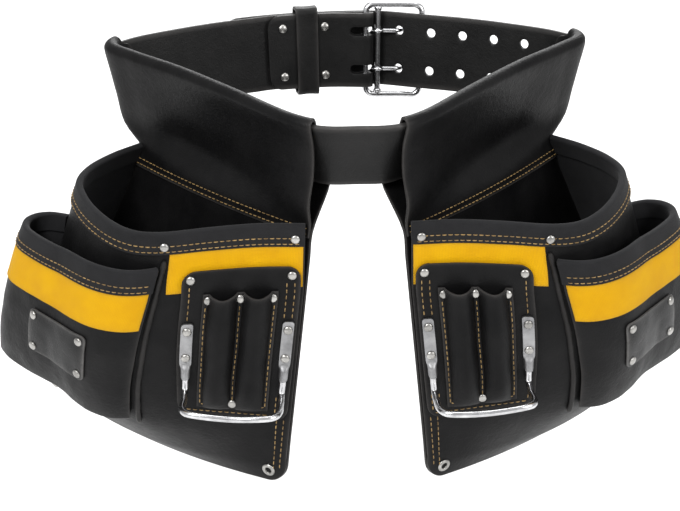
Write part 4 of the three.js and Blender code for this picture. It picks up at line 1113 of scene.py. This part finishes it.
def pouch_point(along, out, drop):
    """Place on or off the hanging panel: share of its width, distance outward, drop below the belt."""
    along, out, drop = spread(along, out, drop)
    share = (drop - TUNNEL_DROP) / (INNER_DROP - TUNNEL_DROP)

    def edge(name):
        along_edge = follow(PANEL_SECTIONS, "drop", name + "_along", share)[..., None]
        out_edge = follow(PANEL_SECTIONS, "drop", name + "_out", share)[..., None]
        return POUCH_CORNER_POINT + along_edge * POUCH_WIDTH * ALONG + out_edge * POUCH_DEPTH * OUTWARD

    inner = edge("inner")
    chord = edge("outer") - inner
    outward = unit(np.stack([chord[..., 1], -chord[..., 0]], -1))
    bow = PANEL_BOW * 4 * along * (1 - along)
    plan = inner + chord * along[..., None] + outward * (out + bow)[..., None]
    return np.concatenate([plan, -drop[..., None]], -1)


def bottom_line(along):
    return mix(INNER_DROP, OUTER_DROP, np.abs(along) ** 2.5) + BOTTOM_BOW * 4 * along * (1 - along)


def corner_loss(along):
    width = POUCH_WIDTH * (PANEL_SECTIONS["outer_along"][2] - PANEL_SECTIONS["inner_along"][2])
    nearest = np.minimum(along, 1 - along) * width
    inside = np.clip(PANEL_CORNER - nearest, 0, PANEL_CORNER)
    return PANEL_CORNER - np.sqrt(PANEL_CORNER ** 2 - inside ** 2)


def hanging_drop(along, start, share):
    rounding = np.clip((share - 0.84) / 0.16, 0, None)
    return mix(start, bottom_line(along), share) - corner_loss(along) * rounding


def fine_lines(even, extra):
    """Even and extra places in order, without any that nearly coincide."""
    lines = np.unique(np.concatenate([even, np.asarray(extra, float)]))
    return lines[np.concatenate([[True], np.diff(lines) > 1e-5])]


def edge_lines(count, edge=0.006):
    """Lines from 0 to 1, closer together at both ends."""
    extra = (edge, 3 * edge, 6 * edge, 1 - edge, 1 - 3 * edge, 1 - 6 * edge)
    return fine_lines(np.linspace(0, 1, count), extra)


def soft_noise(u, v, seed):
    """Smooth uneven height from -1 to 1 over a lattice."""
    u, v = np.broadcast_arrays(u, v)
    values = [noise.noise(Vector((float(a), float(b), seed))) for a, b in zip(u.ravel(), v.ravel())]
    return np.array(values).reshape(u.shape)


# Main pocket's wall, with its size laid flat, by which lengths turn into shares of it

MAIN_HEIGHT = INNER_DROP - RIM_DROP
MAIN_LENGTH = POUCH_WIDTH * 1.47


def main_place(at, row):
    along = follow(MAIN_WALL, "at", "along", at)
    stand = follow(MAIN_WALL, "at", "out", at)
    rim = RIM_DROP - follow(MAIN_WALL, "at", "rise", at)
    drop = hanging_drop(np.clip(along, 0, 1), rim, row)
    fullness = follow(DEPTH_BY_DROP, "drop", "depth", row)
    depth = POUCH_DEPTH * fullness
    closing = smooth_step(at, MAIN_WALL["at"][10], 1)
    flat = 1 - closing * np.minimum(fullness, 1)
    layers = (SADDLE_THICKNESS + flat * POCKET_THICKNESS) / 2 + CLEARANCE - END_SINK * closing
    under_flap = np.clip(1 - row / mix(*FLAP_REACH, closing), 0, None) * (1 - END_FLATTENED * closing)
    room = under_flap * (SADDLE_THICKNESS + HEM_THICKNESS + 3 * CLEARANCE)
    sunk = FOOT_SINK * smooth_step(row, 0.93, 1)
    middle = np.clip(np.minimum(at, 1 - at) / 0.1, 0, 1)
    middle = middle * np.clip(np.minimum(row - 0.05, 1 - row) / 0.12, 0, 1)
    sag = (0.9 * soft_noise(at * 7, row * 4, 3.1) + 0.45 * soft_noise(at * 19, row * 9, 8.4)) * middle
    return pouch_point(along, layers + room - sunk + depth * stand + sag, drop)


MAIN = Surface(edge_lines(150, 0.003), edge_lines(90, 0.004), main_place)


def main_row_at(at, drop):
    rim = RIM_DROP - follow(MAIN_WALL, "at", "rise", at)
    return (drop - rim) / (bottom_line(follow(MAIN_WALL, "at", "along", at)) - rim)


# Outer pocket's wall, with its size laid flat

OUTER_HEIGHT = OUTER_INNER_DROP - OUTER_RIM_DROP
OUTER_LENGTH = POUCH_WIDTH * 0.95


def outer_bottom(at):
    return mix(OUTER_INNER_DROP, OUTER_FAR_DROP, np.clip(at / OUTER_WALL["at"][5], 0, 1))


def seam_at(share):
    return mix(SEAM_TOP, SEAM_BOTTOM, share)


def outer_place(at, row):
    at, row = np.broadcast_arrays(at, row)
    along = follow(OUTER_WALL, "at", "along", at)
    stand = follow(OUTER_WALL, "at", "out", at)
    drop = mix(OUTER_RIM_DROP, outer_bottom(at), row)
    share = (drop - RIM_DROP) / (INNER_DROP - RIM_DROP)
    depth = POUCH_DEPTH * follow(DEPTH_BY_DROP, "drop", "depth", share)
    free = pouch_point(along, depth * stand + 2 * POCKET_THICKNESS, drop)
    beside = (2 * PIPING_RADIUS + CLEARANCE) / MAIN_LENGTH + 0.6 * at
    lift = POCKET_THICKNESS + HEM_THICKNESS + 3 * CLEARANCE + SEAM_SPREAD * at
    column = np.clip(seam_at(row) + beside, 0, 1)
    sewn = MAIN.at(column, main_row_at(column, drop), lift)
    release = smooth_step(at, 0, OUTER_WALL["at"][3])[..., None]
    closing = smooth_step(at, OUTER_WALL["at"][8], 1)[..., None]
    end = mix(OUTER_END_TOP, OUTER_END_BOTTOM, row)
    closed = MAIN.at(end, main_row_at(end, drop), POCKET_THICKNESS / 2 + 2 * CLEARANCE)
    middle = np.clip(np.minimum(at, 1 - at) / 0.12, 0, 1) * np.clip((row - 0.2) / 0.2, 0, 1)
    sag = (1.8 * soft_noise(at * 5, row * 3, 14.2) + 0.6 * soft_noise(at * 14, row * 8, 5.7)) * middle
    bellied = free + np.concatenate([OUTWARD, [0]]) * sag[..., None]
    return mix(mix(sewn, bellied, release), closed, closing)


OUTER = Surface(edge_lines(120, 0.004), edge_lines(60, 0.006), outer_place)


# Where along the saddle its rounded outer corner starts, as a share of its length
CORNER_STARTS = 0.93


def saddle_column(along):
    """Places on the saddle up its hanging panel, up behind the strap, over it and down the front flap."""
    offset = BELT_THICKNESS / 2 + 4 * CLEARANCE + SADDLE_THICKNESS / 2
    top = BELT_WIDTH / 2
    seam_lift = SADDLE_THICKNESS + CLEARANCE

    def arc(height):
        inside = np.clip(height - top + SADDLE_CORNER, 0, SADDLE_CORNER)
        trim = SADDLE_CORNER - math.sqrt(SADDLE_CORNER ** 2 - inside ** 2)
        cut = max(along - CORNER_STARTS, 0) / (1 - CORNER_STARTS) * trim
        return SADDLE_START + along * SADDLE_LENGTH - cut

    column = [pouch_point(along, 0, hanging_drop(along, TUNNEL_DROP, share))
              for share in (1, 0.985, 0.95, 0.9, 0.84, 0.72, 0.6, 0.47, 0.35, 0.2, 0.1, 0)]
    for share in (-1.18, -1, -0.4, 0.3, 0.9):
        column.append(belt_point(arc(share * top), -offset, share * top))
    for turn in np.radians((0, 30, 60, 90, 120, 150, 180)):
        column.append(belt_point(arc(top), -offset * math.cos(turn), top + offset * math.sin(turn)))
    crest = belt_point(arc(top), offset, top)
    hem = pouch_point(along, seam_lift, TUNNEL_DROP + 4)
    looseness = max(1 - along / 0.65, 0)
    for share in (0.3, 0.65, 1.03):
        height = top - share * BELT_WIDTH
        against = belt_point(arc(height), offset, height)
        straight = mix(crest, hem, share * BELT_WIDTH / (top + TUNNEL_DROP))
        column.append(mix(against, straight, share * looseness))
    column += [pouch_point(along, seam_lift, TUNNEL_DROP - 6), hem]
    return spline_rows(column, 5)


SADDLE = np.array([saddle_column(along) for along in edge_lines(96, 0.003)])
SADDLE_NORMALS = lattice_normals(SADDLE)


def flap_line(distance):
    """Line along the front flap's face, a set distance above its hem, with its normals."""
    side = 1 if SADDLE_NORMALS[len(SADDLE) // 2, -3][:2].dot(OUTWARD) > 0 else -1
    points, normals = [], []
    for column, away in zip(SADDLE[2:-2, ::-1], SADDLE_NORMALS[2:-2, ::-1] * side):
        steps = steps_along(column)
        normals.append(sample(away, steps, distance))
        points.append(sample(column, steps, distance) + normals[-1] * SADDLE_THICKNESS / 2)
    return np.array(points), np.array(normals)


def sew_back(thread, along, drop):
    """Stitches on the side of the hanging panel that lies on the wearer."""
    along, drop = spread(along, drop)
    points = pouch_point(along, -SADDLE_THICKNESS / 2, drop)
    thread.row(points, points - pouch_point(along, 0, drop))


def hem_points(surface, height, wall_height):
    """Mid-line of a hem rolled over a rim: down inside, round over the top and down outside."""
    lift = POCKET_THICKNESS / 2 + CLEARANCE + HEM_THICKNESS / 2
    spots = [(height * share, -lift) for share in (0.8, 0.78, 0.6, 0.4, 0.2, 0.08)]
    for angle in np.linspace(0, math.pi, 9):
        spots.append((-lift * 0.62 * math.sin(angle), -lift * math.cos(angle) * (1 + 0.12 * math.sin(angle))))
    spots += [(height * share, lift) for share in (0.08, 0.2, 0.35, 0.5, 0.65, 0.8, 0.97, 1.0)]
    rows = np.array([spot[0] for spot in spots]) / wall_height
    lifts = np.array([spot[1] for spot in spots])
    return surface.at(surface.columns[:, None], rows[None, :], lifts[None, :])


def rounded_grid(width, height, corner, columns=40, rows=50):
    """Places on a rectangle with rounded corners, as a lattice of distances across and down."""
    close = corner * np.array((0.02, 0.08, 0.18, 0.32, 0.5, 0.72, 1))
    down = fine_lines(np.linspace(0, height, rows), np.concatenate([close, height - close]))
    share = edge_lines(columns, 0.008)
    near = np.minimum(down, height - down)
    inside = np.clip(corner - near, 0, corner)
    inset = corner - np.sqrt(corner ** 2 - inside ** 2)
    across = inset[None, :] + share[:, None] * (width - 2 * inset[None, :])
    return across, np.broadcast_to(down[None, :], across.shape)


PANEL_LIFT = POCKET_THICKNESS / 2 + CLEARANCE + BAND_THICKNESS + 2 * CLEARANCE
PANEL_FACE = PANEL_LIFT + PANEL_THICKNESS


def panel_column(distance):
    return (PANEL_INSET + distance) / MAIN_LENGTH


def panel_row(distance, place):
    slant = PANEL_SLANT * (1 - place / PANEL_WIDTH) * distance / PANEL_HEIGHT
    return (PANEL_TOP + distance + slant) / MAIN_HEIGHT


def on_panel(place, distance, lift):
    return MAIN.at(panel_column(place), panel_row(distance, place), lift)


def panel_normal(place, distance):
    return MAIN.normal(panel_column(place), panel_row(distance, place))


def sew_panel(thread, places, distances, lift):
    places, distances = spread(places, distances)
    thread.row(on_panel(places, distances, lift), panel_normal(places, distances))


def slot_height(place, share):
    """How far the slot pocket stands off the panel: two tubes between three flat seams."""
    start = SLOT_MARGIN * 0.55
    tube = (SLOT_WIDTH - 3 * start) / 2
    rise = np.zeros(np.broadcast(place, share).shape)
    for first in (start, 2 * start + tube):
        s = np.clip((place - first) / tube, 0, 1)
        rise = rise + np.sin(math.pi * s) ** 0.75
    closing = np.sqrt(np.clip(1 - (np.clip(share - 0.8, 0, None) / 0.2) ** 2, 0, 1))
    return SLOT_DEPTH * 0.8 * rise * mix(1, 0.72, share) * closing


def build_slot_pocket(side, mirror, thread, rivets):
    start = (PANEL_WIDTH - SLOT_WIDTH) / 2
    place = np.linspace(0, SLOT_WIDTH, 90)[:, None]
    share = edge_lines(60, 0.006)[None, :]
    base = PANEL_FACE + 2 * CLEARANCE + SLOT_THICKNESS / 2
    dip = 1.6 * np.exp(-share / 0.05) * (slot_height(place, 0) / SLOT_DEPTH)
    distance = SLOT_TOP + share * SLOT_HEIGHT + dip * (share < 0.3)
    lift = base + slot_height(place, share)
    points = on_panel(start + place + 0 * distance, distance, lift)
    pocket = sheet(side + "_tool_slots", points, SLOT_THICKNESS, [LEATHER], mirror, 0.3)
    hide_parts(side + "_slot_pocket")
    face = base + SLOT_THICKNESS / 2
    line = np.linspace(0, 1, 120)
    low, high = SLOT_TOP + 10, SLOT_TOP + SLOT_HEIGHT - 3
    for seam in (SLOT_SEAM, SLOT_WIDTH / 2, SLOT_WIDTH - SLOT_SEAM):
        sew_panel(thread, start + seam, mix(low, high, line), face)
    sew_panel(thread, start + mix(SLOT_SEAM, SLOT_WIDTH - SLOT_SEAM, line), high, face)
    bottom = SLOT_TOP + SLOT_HEIGHT - 4.5
    seat = on_panel(start + SLOT_WIDTH / 2, bottom, face)
    rivets.append((side + "_slot_foot_rivet", None, seat, panel_normal(start + SLOT_WIDTH / 2, bottom), face))


def build_hammer_loop(side, mirror):
    low = PANEL_FACE + CLEARANCE
    start = (PANEL_WIDTH - LOOP_WIDTH) / 2
    places = (start, start + LOOP_WIDTH)
    parts, plate_faces = [], 0
    for place in places:
        wide, down = rounded_grid(PLATE_WIDTH, PLATE_HEIGHT, 2.2, 22, 40)
        socket = smooth_step(down, PLATE_HEIGHT - SOCKET_LENGTH, PLATE_HEIGHT - SOCKET_LENGTH * 0.55)
        aside = (wide - PLATE_WIDTH / 2) * (1 - 0.2 * socket)
        crown = np.sqrt(np.clip(1 - (aside / (PLATE_WIDTH * 0.42)) ** 2, 0, 1))
        raised = socket * crown * (2 * LOOP_ROD_RADIUS + 0.7 - PLATE_THICKNESS)
        bottom = on_panel(place + aside, PLATE_TOP + down, low)
        top = on_panel(place + aside, PLATE_TOP + down, low + PLATE_THICKNESS + raised)
        parts.append(slab_mesh(bottom, top, 0.4)[:2])
        plate_faces += len(parts[-1][1])

    end = PLATE_TOP + PLATE_HEIGHT
    ends = [on_panel(place, end + LOOP_ROD_DROP - 2, low + LOOP_ROD_RADIUS) for place in places]
    across = ends[1] - ends[0]
    across[2] = 0
    across = unit(across)
    forth = np.array((across[1], -across[0], 0))
    bend, reach = LOOP_BEND, LOOP_REACH

    def away(base, sideways, out, sink):
        return base + across * sideways + forth * out - np.array((0, 0, sink))

    def arm(number, inward):
        """One side of the rod: out of its plate, away from the panel and round the bend."""
        path = [on_panel(places[number], end + below, low + LOOP_ROD_RADIUS) for below in (-8, 2)]
        bends = ((0, 6, 3.4), (0, (reach - bend) / 2, 5), (0, reach - bend, 5),
                 (bend * 0.3, reach - bend * 0.3, 5), (bend, reach, 5))
        path += [ends[number]] + [away(ends[number], inward * aside, out, sink) for aside, out, sink in bends]
        return path

    path = arm(0, 1) + [away(ends[0], LOOP_WIDTH * 0.5, reach + 0.5, 5.6)] + arm(1, -1)[::-1]
    parts.append(tube_mesh(smooth_line(path, 190), LOOP_ROD_RADIUS, 20))
    vertices, faces = joined_meshes(parts)
    chosen = np.zeros(len(faces), int)
    chosen[:plate_faces] = 1
    metals = [STEEL, PLATE_STEEL]
    loop = add_object(side + "_steel_loop", vertices, faces, metals, mirror, face_material=chosen, sharp=50)
    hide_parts(side + "_hammer_loop")


def build_eyelet(side, mirror):
    column, row = EYELET_ACROSS / MAIN_LENGTH, 1 - EYELET_UP / MAIN_HEIGHT
    axis = MAIN.normal(column, row)
    seat = MAIN.at(column, row, POCKET_THICKNESS / 2 + 0.2)
    bore, flange, grip = EYELET_BORE, EYELET_FLANGE, EYELET_GRIP
    profile = [(bore, -grip), (bore + 0.8, -grip), (bore + 0.8, 0), (flange, 0), (flange - 0.15, 0.5),
               (flange - 0.9, 0.95), (bore + 1.2, 1.15), (bore + 0.4, 0.9), (bore, 0.3), (bore, -grip)]
    vertices, faces = turned_mesh(profile, 36)
    eyelet = add_object(side + "_eyelet", seated(vertices, seat, axis), faces, [NICKEL], mirror, sharp=60)
    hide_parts(side + "_corner_eyelet")


# Pieces of a pouch: shares along a row of thread, and lifts of what lies on a pocket's wall

LINE = np.linspace(0, 1, 400)
WALL_FACE = POCKET_THICKNESS / 2
HEM_FACE = WALL_FACE + CLEARANCE + HEM_THICKNESS
LAID_LOW = WALL_FACE + CLEARANCE * 0.6


def build_saddle(side, mirror, thread):
    saddle = sheet(side + "_saddle_leather", SADDLE, SADDLE_THICKNESS, [LEATHER], mirror, 0.5)
    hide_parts(side + "_saddle")
    for distance in FLAP_SEAMS:
        thread.row(*flap_line(distance))
    for below in TUNNEL_SEAMS:
        sew_back(thread, mix(0.015, 0.985, LINE), TUNNEL_DROP + below)
    for along in SADDLE_SIDE_SEAMS:
        sew_back(thread, along, mix(TUNNEL_DROP + 8, INNER_DROP - 14, LINE))
    sew_back(thread, 0.984, mix(TUNNEL_DROP + 8, OUTER_DROP - 12, LINE))
    foot = mix(0.06, 0.95, LINE)
    sew_back(thread, foot, bottom_line(foot) - 4)


def build_hem(name, node, surface, hem_height, wall_height, first_stitch, mirror, thread):
    """Suede hem over a pocket's rim, with its two rows of thread."""
    rim = sheet(name, hem_points(surface, hem_height, wall_height), HEM_THICKNESS, [SUEDE], mirror, 0.3)
    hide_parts(node)
    for inset in HEM_SEAMS:
        thread.on(surface, mix(first_stitch, 0.985, LINE), (hem_height - inset) / wall_height, HEM_FACE)


def build_band(name, node, surface, columns, top, height, wall_height, mirror):
    """Yellow band, sewn flat on a pocket below its hem."""
    rows = (top + BAND_GAP + height * edge_lines(16, 0.02))[None, :] / wall_height
    face = LAID_LOW + BAND_THICKNESS
    band = laid_sheet(name, surface, columns[:, None], rows, LAID_LOW, face, WEBBING, mirror)
    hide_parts(node)


def build_main_pocket(side, mirror, thread):
    main = sheet(side + "_large_pocket", MAIN.points, POCKET_THICKNESS, [LEATHER, SUEDE], mirror, 0.5)
    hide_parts(side + "_main_pocket")
    build_hem(side + "_large_hem", side + "_main_rim", MAIN, HEM_HEIGHT, MAIN_HEIGHT, 0.012, mirror, thread)
    columns = mix(0.004, SEAM_TOP - (PIPING_RADIUS + 1) / MAIN_LENGTH, edge_lines(70, 0.006))
    build_band(side + "_large_band", side + "_main_band", MAIN, columns, HEM_HEIGHT, BAND_HEIGHT,
               MAIN_HEIGHT, mirror)


def outer_pocket_lattice():
    """The outer pocket's wall, and its floor that curves back down onto the main pocket."""
    lands = follow(OUTER_WALL, "at", "lands", OUTER.columns)
    lands = lands + (SEAM_BOTTOM - SEAM_TOP) * np.clip(1 - 4 * OUTER.columns, 0, None)
    seam = MAIN.at(lands, main_row_at(lands, outer_bottom(OUTER.columns) + 5), WALL_FACE)
    wall_end = OUTER.points[:, -1]
    lattice = [OUTER.points]
    for share in (0.12, 0.3, 0.5, 0.75, 1.0):
        line = mix(wall_end, seam, share)
        line[:, 2] = mix(wall_end[:, 2], seam[:, 2], 1 - (1 - share) ** 3)
        lattice.append(line[:, None])
    return np.concatenate(lattice, axis=1)


def build_outer_pocket(side, mirror, thread):
    lattice = outer_pocket_lattice()
    outer = sheet(side + "_side_pocket", lattice, POCKET_THICKNESS, [LEATHER, SUEDE], mirror, 0.5)
    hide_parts(side + "_outer_pocket")
    build_hem(side + "_side_hem", side + "_outer_rim", OUTER, OUTER_HEM_HEIGHT, OUTER_HEIGHT, 0.02,
              mirror, thread)
    columns = mix(0.012, 0.97, edge_lines(90, 0.005))
    build_band(side + "_side_band", side + "_outer_band", OUTER, columns, OUTER_HEM_HEIGHT, OUTER_BAND_HEIGHT,
               OUTER_HEIGHT, mirror)

    count = 60
    drops = np.linspace(OUTER_RIM_DROP - 10, OUTER_INNER_DROP + 4, count)
    columns = seam_at(np.linspace(0, 1, count))
    lift = WALL_FACE + CLEARANCE * 0.5 + PIPING_RADIUS * 0.8
    centre = MAIN.at(columns, (drops - RIM_DROP) / MAIN_HEIGHT, lift)
    sizes = PIPING_RADIUS * (1 + 0.06 * np.sin(np.linspace(0, 60, count)))
    sizes[[0, -1]] *= 0.6
    vertices, faces = tube_mesh(centre, sizes, 14)
    wear = np.full(len(vertices), 0.55)
    piping = add_object(side + "_welt", vertices, faces, [LEATHER], mirror, wear=wear, sharp=60)
    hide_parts(side + "_outer_piping")


def build_tool_panel(side, mirror, thread):
    across, down = rounded_grid(PANEL_WIDTH, PANEL_HEIGHT, TOOL_PANEL_CORNER)
    mesh = slab_mesh(on_panel(across, down, PANEL_LIFT), on_panel(across, down, PANEL_FACE), 0.5)
    vertices, faces, uv, wear = mesh
    panel = add_object(side + "_tool_plate", vertices, faces, [LEATHER], mirror, uv, wear)
    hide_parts(side + "_tool_panel")
    above_plate = mix(11, PLATE_TOP - 1, LINE)
    below_plate = mix(PLATE_TOP + PLATE_HEIGHT + 14, PANEL_HEIGHT - 5, LINE)
    for distances in (above_plate, below_plate):
        for place in (PANEL_WIDTH - PANEL_OUTER_SEAM, *PANEL_SEAMS):
            sew_panel(thread, place, distances, PANEL_FACE)
    sew_panel(thread, mix(5, PANEL_WIDTH - 6, LINE), PANEL_HEIGHT - PANEL_FOOT_SEAM, PANEL_FACE)
    below = (PANEL_TOP + PANEL_HEIGHT + PANEL_SLANT + 1) / MAIN_HEIGHT
    for inset in PANEL_SEAMS:
        thread.on(MAIN, (inset + 1) / MAIN_LENGTH, mix(below, 0.955, LINE), WALL_FACE)


def build_name_patch(side, mirror, rivets):
    def on_patch(across, down):
        return PATCH_FROM_END + across / OUTER_LENGTH, (PATCH_TOP + down) / OUTER_HEIGHT

    column, row = on_patch(*rounded_grid(PATCH_WIDTH, PATCH_HEIGHT, PATCH_CORNER, 40, 30))
    face = LAID_LOW + PATCH_THICKNESS
    patch = laid_sheet(side + "_blank_patch", OUTER, column, row, LAID_LOW, face, PATCH_LEATHER, mirror)
    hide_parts(side + "_name_patch")
    inset = PATCH_RIVET_INSET
    lefts, tops = (inset, PATCH_WIDTH - inset), (inset, PATCH_HEIGHT - inset)
    for number, corner in enumerate([(across, down) for across in lefts for down in tops], 1):
        column, row = on_patch(*corner)
        seat = OUTER.at(column, row, face)
        rivets.append((f"{side}_patch_rivet_{number}", None, seat, OUTER.normal(column, row), 4))


def place_rivets(side, rivets):
    """Rivets on the main pocket and its fittings, each as a name, a node, a seat, an axis and a grip."""
    def on_main(name, column, row, lift, grip):
        seat, axis = MAIN.at(column, row, lift), MAIN.normal(column, row)
        rivets.append((f"{side}_{name}_cap", f"{side}_{name}", seat, axis, grip))

    hem_middle = HEM_HEIGHT * 0.6 / MAIN_HEIGHT
    on_main("rim_rivet", RIM_RIVET_INSET / MAIN_LENGTH, hem_middle, HEM_FACE, 2 * HEM_FACE)
    on_main("seam_rivet", SEAM_TOP + 0.005, hem_middle, HEM_FACE, 2 * HEM_FACE)
    inset = PANEL_RIVET_INSET
    for name, place in (("inner", inset), ("outer", PANEL_WIDTH - inset)):
        row = panel_row(inset, place)
        on_main(f"panel_rivet_{name}", panel_column(place), row, PANEL_FACE, PANEL_FACE + 1)
    slot_face = PANEL_FACE + 2 * CLEARANCE + SLOT_THICKNESS
    slot_start = (PANEL_WIDTH - SLOT_WIDTH) / 2
    slot_seams = (SLOT_MARGIN / 2, SLOT_WIDTH / 2, SLOT_WIDTH - SLOT_MARGIN / 2)
    for name, place in zip(("inner", "middle", "outer"), slot_seams):
        row = panel_row(SLOT_TOP + SLOT_RIVET_DOWN, slot_start + place)
        on_main(f"slot_rivet_{name}", panel_column(slot_start + place), row, slot_face, slot_face + 1)
    plate_face = PANEL_FACE + CLEARANCE + PLATE_THICKNESS
    loop_start = (PANEL_WIDTH - LOOP_WIDTH) / 2
    for column_name, place in (("inner", loop_start), ("outer", loop_start + LOOP_WIDTH)):
        for row_name, share in PLATE_RIVETS:
            row = panel_row(PLATE_TOP + share * PLATE_HEIGHT, place)
            name = f"loop_rivet_{column_name}_{row_name}"
            on_main(name, panel_column(place), row, plate_face, plate_face + 1)
    on_main("corner_rivet", 0.79, 0.97, WALL_FACE + 0.3, 9)


def build_pouch(side, mirror):
    thread = Thread()
    rivets = []
    build_saddle(side, mirror, thread)
    build_main_pocket(side, mirror, thread)
    build_outer_pocket(side, mirror, thread)
    build_tool_panel(side, mirror, thread)
    build_slot_pocket(side, mirror, thread, rivets)
    build_hammer_loop(side, mirror)
    build_eyelet(side, mirror)
    build_name_patch(side, mirror, rivets)
    place_rivets(side, rivets)
    for name, node, seat, axis, grip in rivets:
        vertices, faces = rivet_mesh(seat, axis, grip)
        rivet = add_object(name, vertices, faces, [NICKEL], mirror, sharp=50)
        if node is not None:
            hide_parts(node)
    stitches = thread.finish(side + "_stitches", mirror)


build_pouch("right", 1)
build_pouch("left", -1)


# Stage: pale floor and soft studio light

FLOOR_DROP = 0.45
FLOOR_REACH = 20.0
SKY_STRENGTH = 0.65
LIGHTS_AIM = (0, 0, -0.1)

# Each light's name, place, size and power
SOFTBOXES = (
    ("key", (-1.1, -1.5, 1.5), (1.0, 0.8), 48),
    ("fill", (1.5, -1.3, 0.9), (1.0, 1.0), 22),
    ("top", (0.1, 0.3, 1.8), (1.4, 1.0), 22),
    ("rear", (0.3, 1.9, 0.8), (1.4, 1.0), 20),
)


def build_stage():
    mesh = bpy.data.meshes.new("floor")
    rim = [(x * FLOOR_REACH, y * FLOOR_REACH, -FLOOR_DROP) for x, y in ((-1, -1), (1, -1), (1, 1), (-1, 1))]
    mesh.from_pydata(rim, [], [(0, 1, 2, 3)])
    look = Look("floor")
    speckle = look.texture("Noise", 3, detail=3)
    look.shade(colour=look.ramp(speckle, (0.3, (0.86, 0.86, 0.86)), (0.7, (0.88, 0.88, 0.88))), roughness=0.9)
    mesh.materials.append(look.material)
    new_object("floor", mesh)

    world = bpy.data.worlds.new("studio")
    world.use_nodes = True
    background = world.node_tree.nodes["Background"]
    background.inputs["Color"].default_value = (1, 1, 1, 1)
    background.inputs["Strength"].default_value = SKY_STRENGTH
    bpy.context.scene.world = world
    bpy.context.scene.view_settings.view_transform = "Standard"

    for name, place, size, power in SOFTBOXES:
        data = bpy.data.lights.new(name, "AREA")
        data.shape = "RECTANGLE"
        data.size, data.size_y = size
        data.energy = power
        light = new_object(name, data)
        light.location = place
        light.rotation_euler = (Vector(LIGHTS_AIM) - Vector(place)).to_track_quat("-Z", "Y").to_euler()


build_stage()
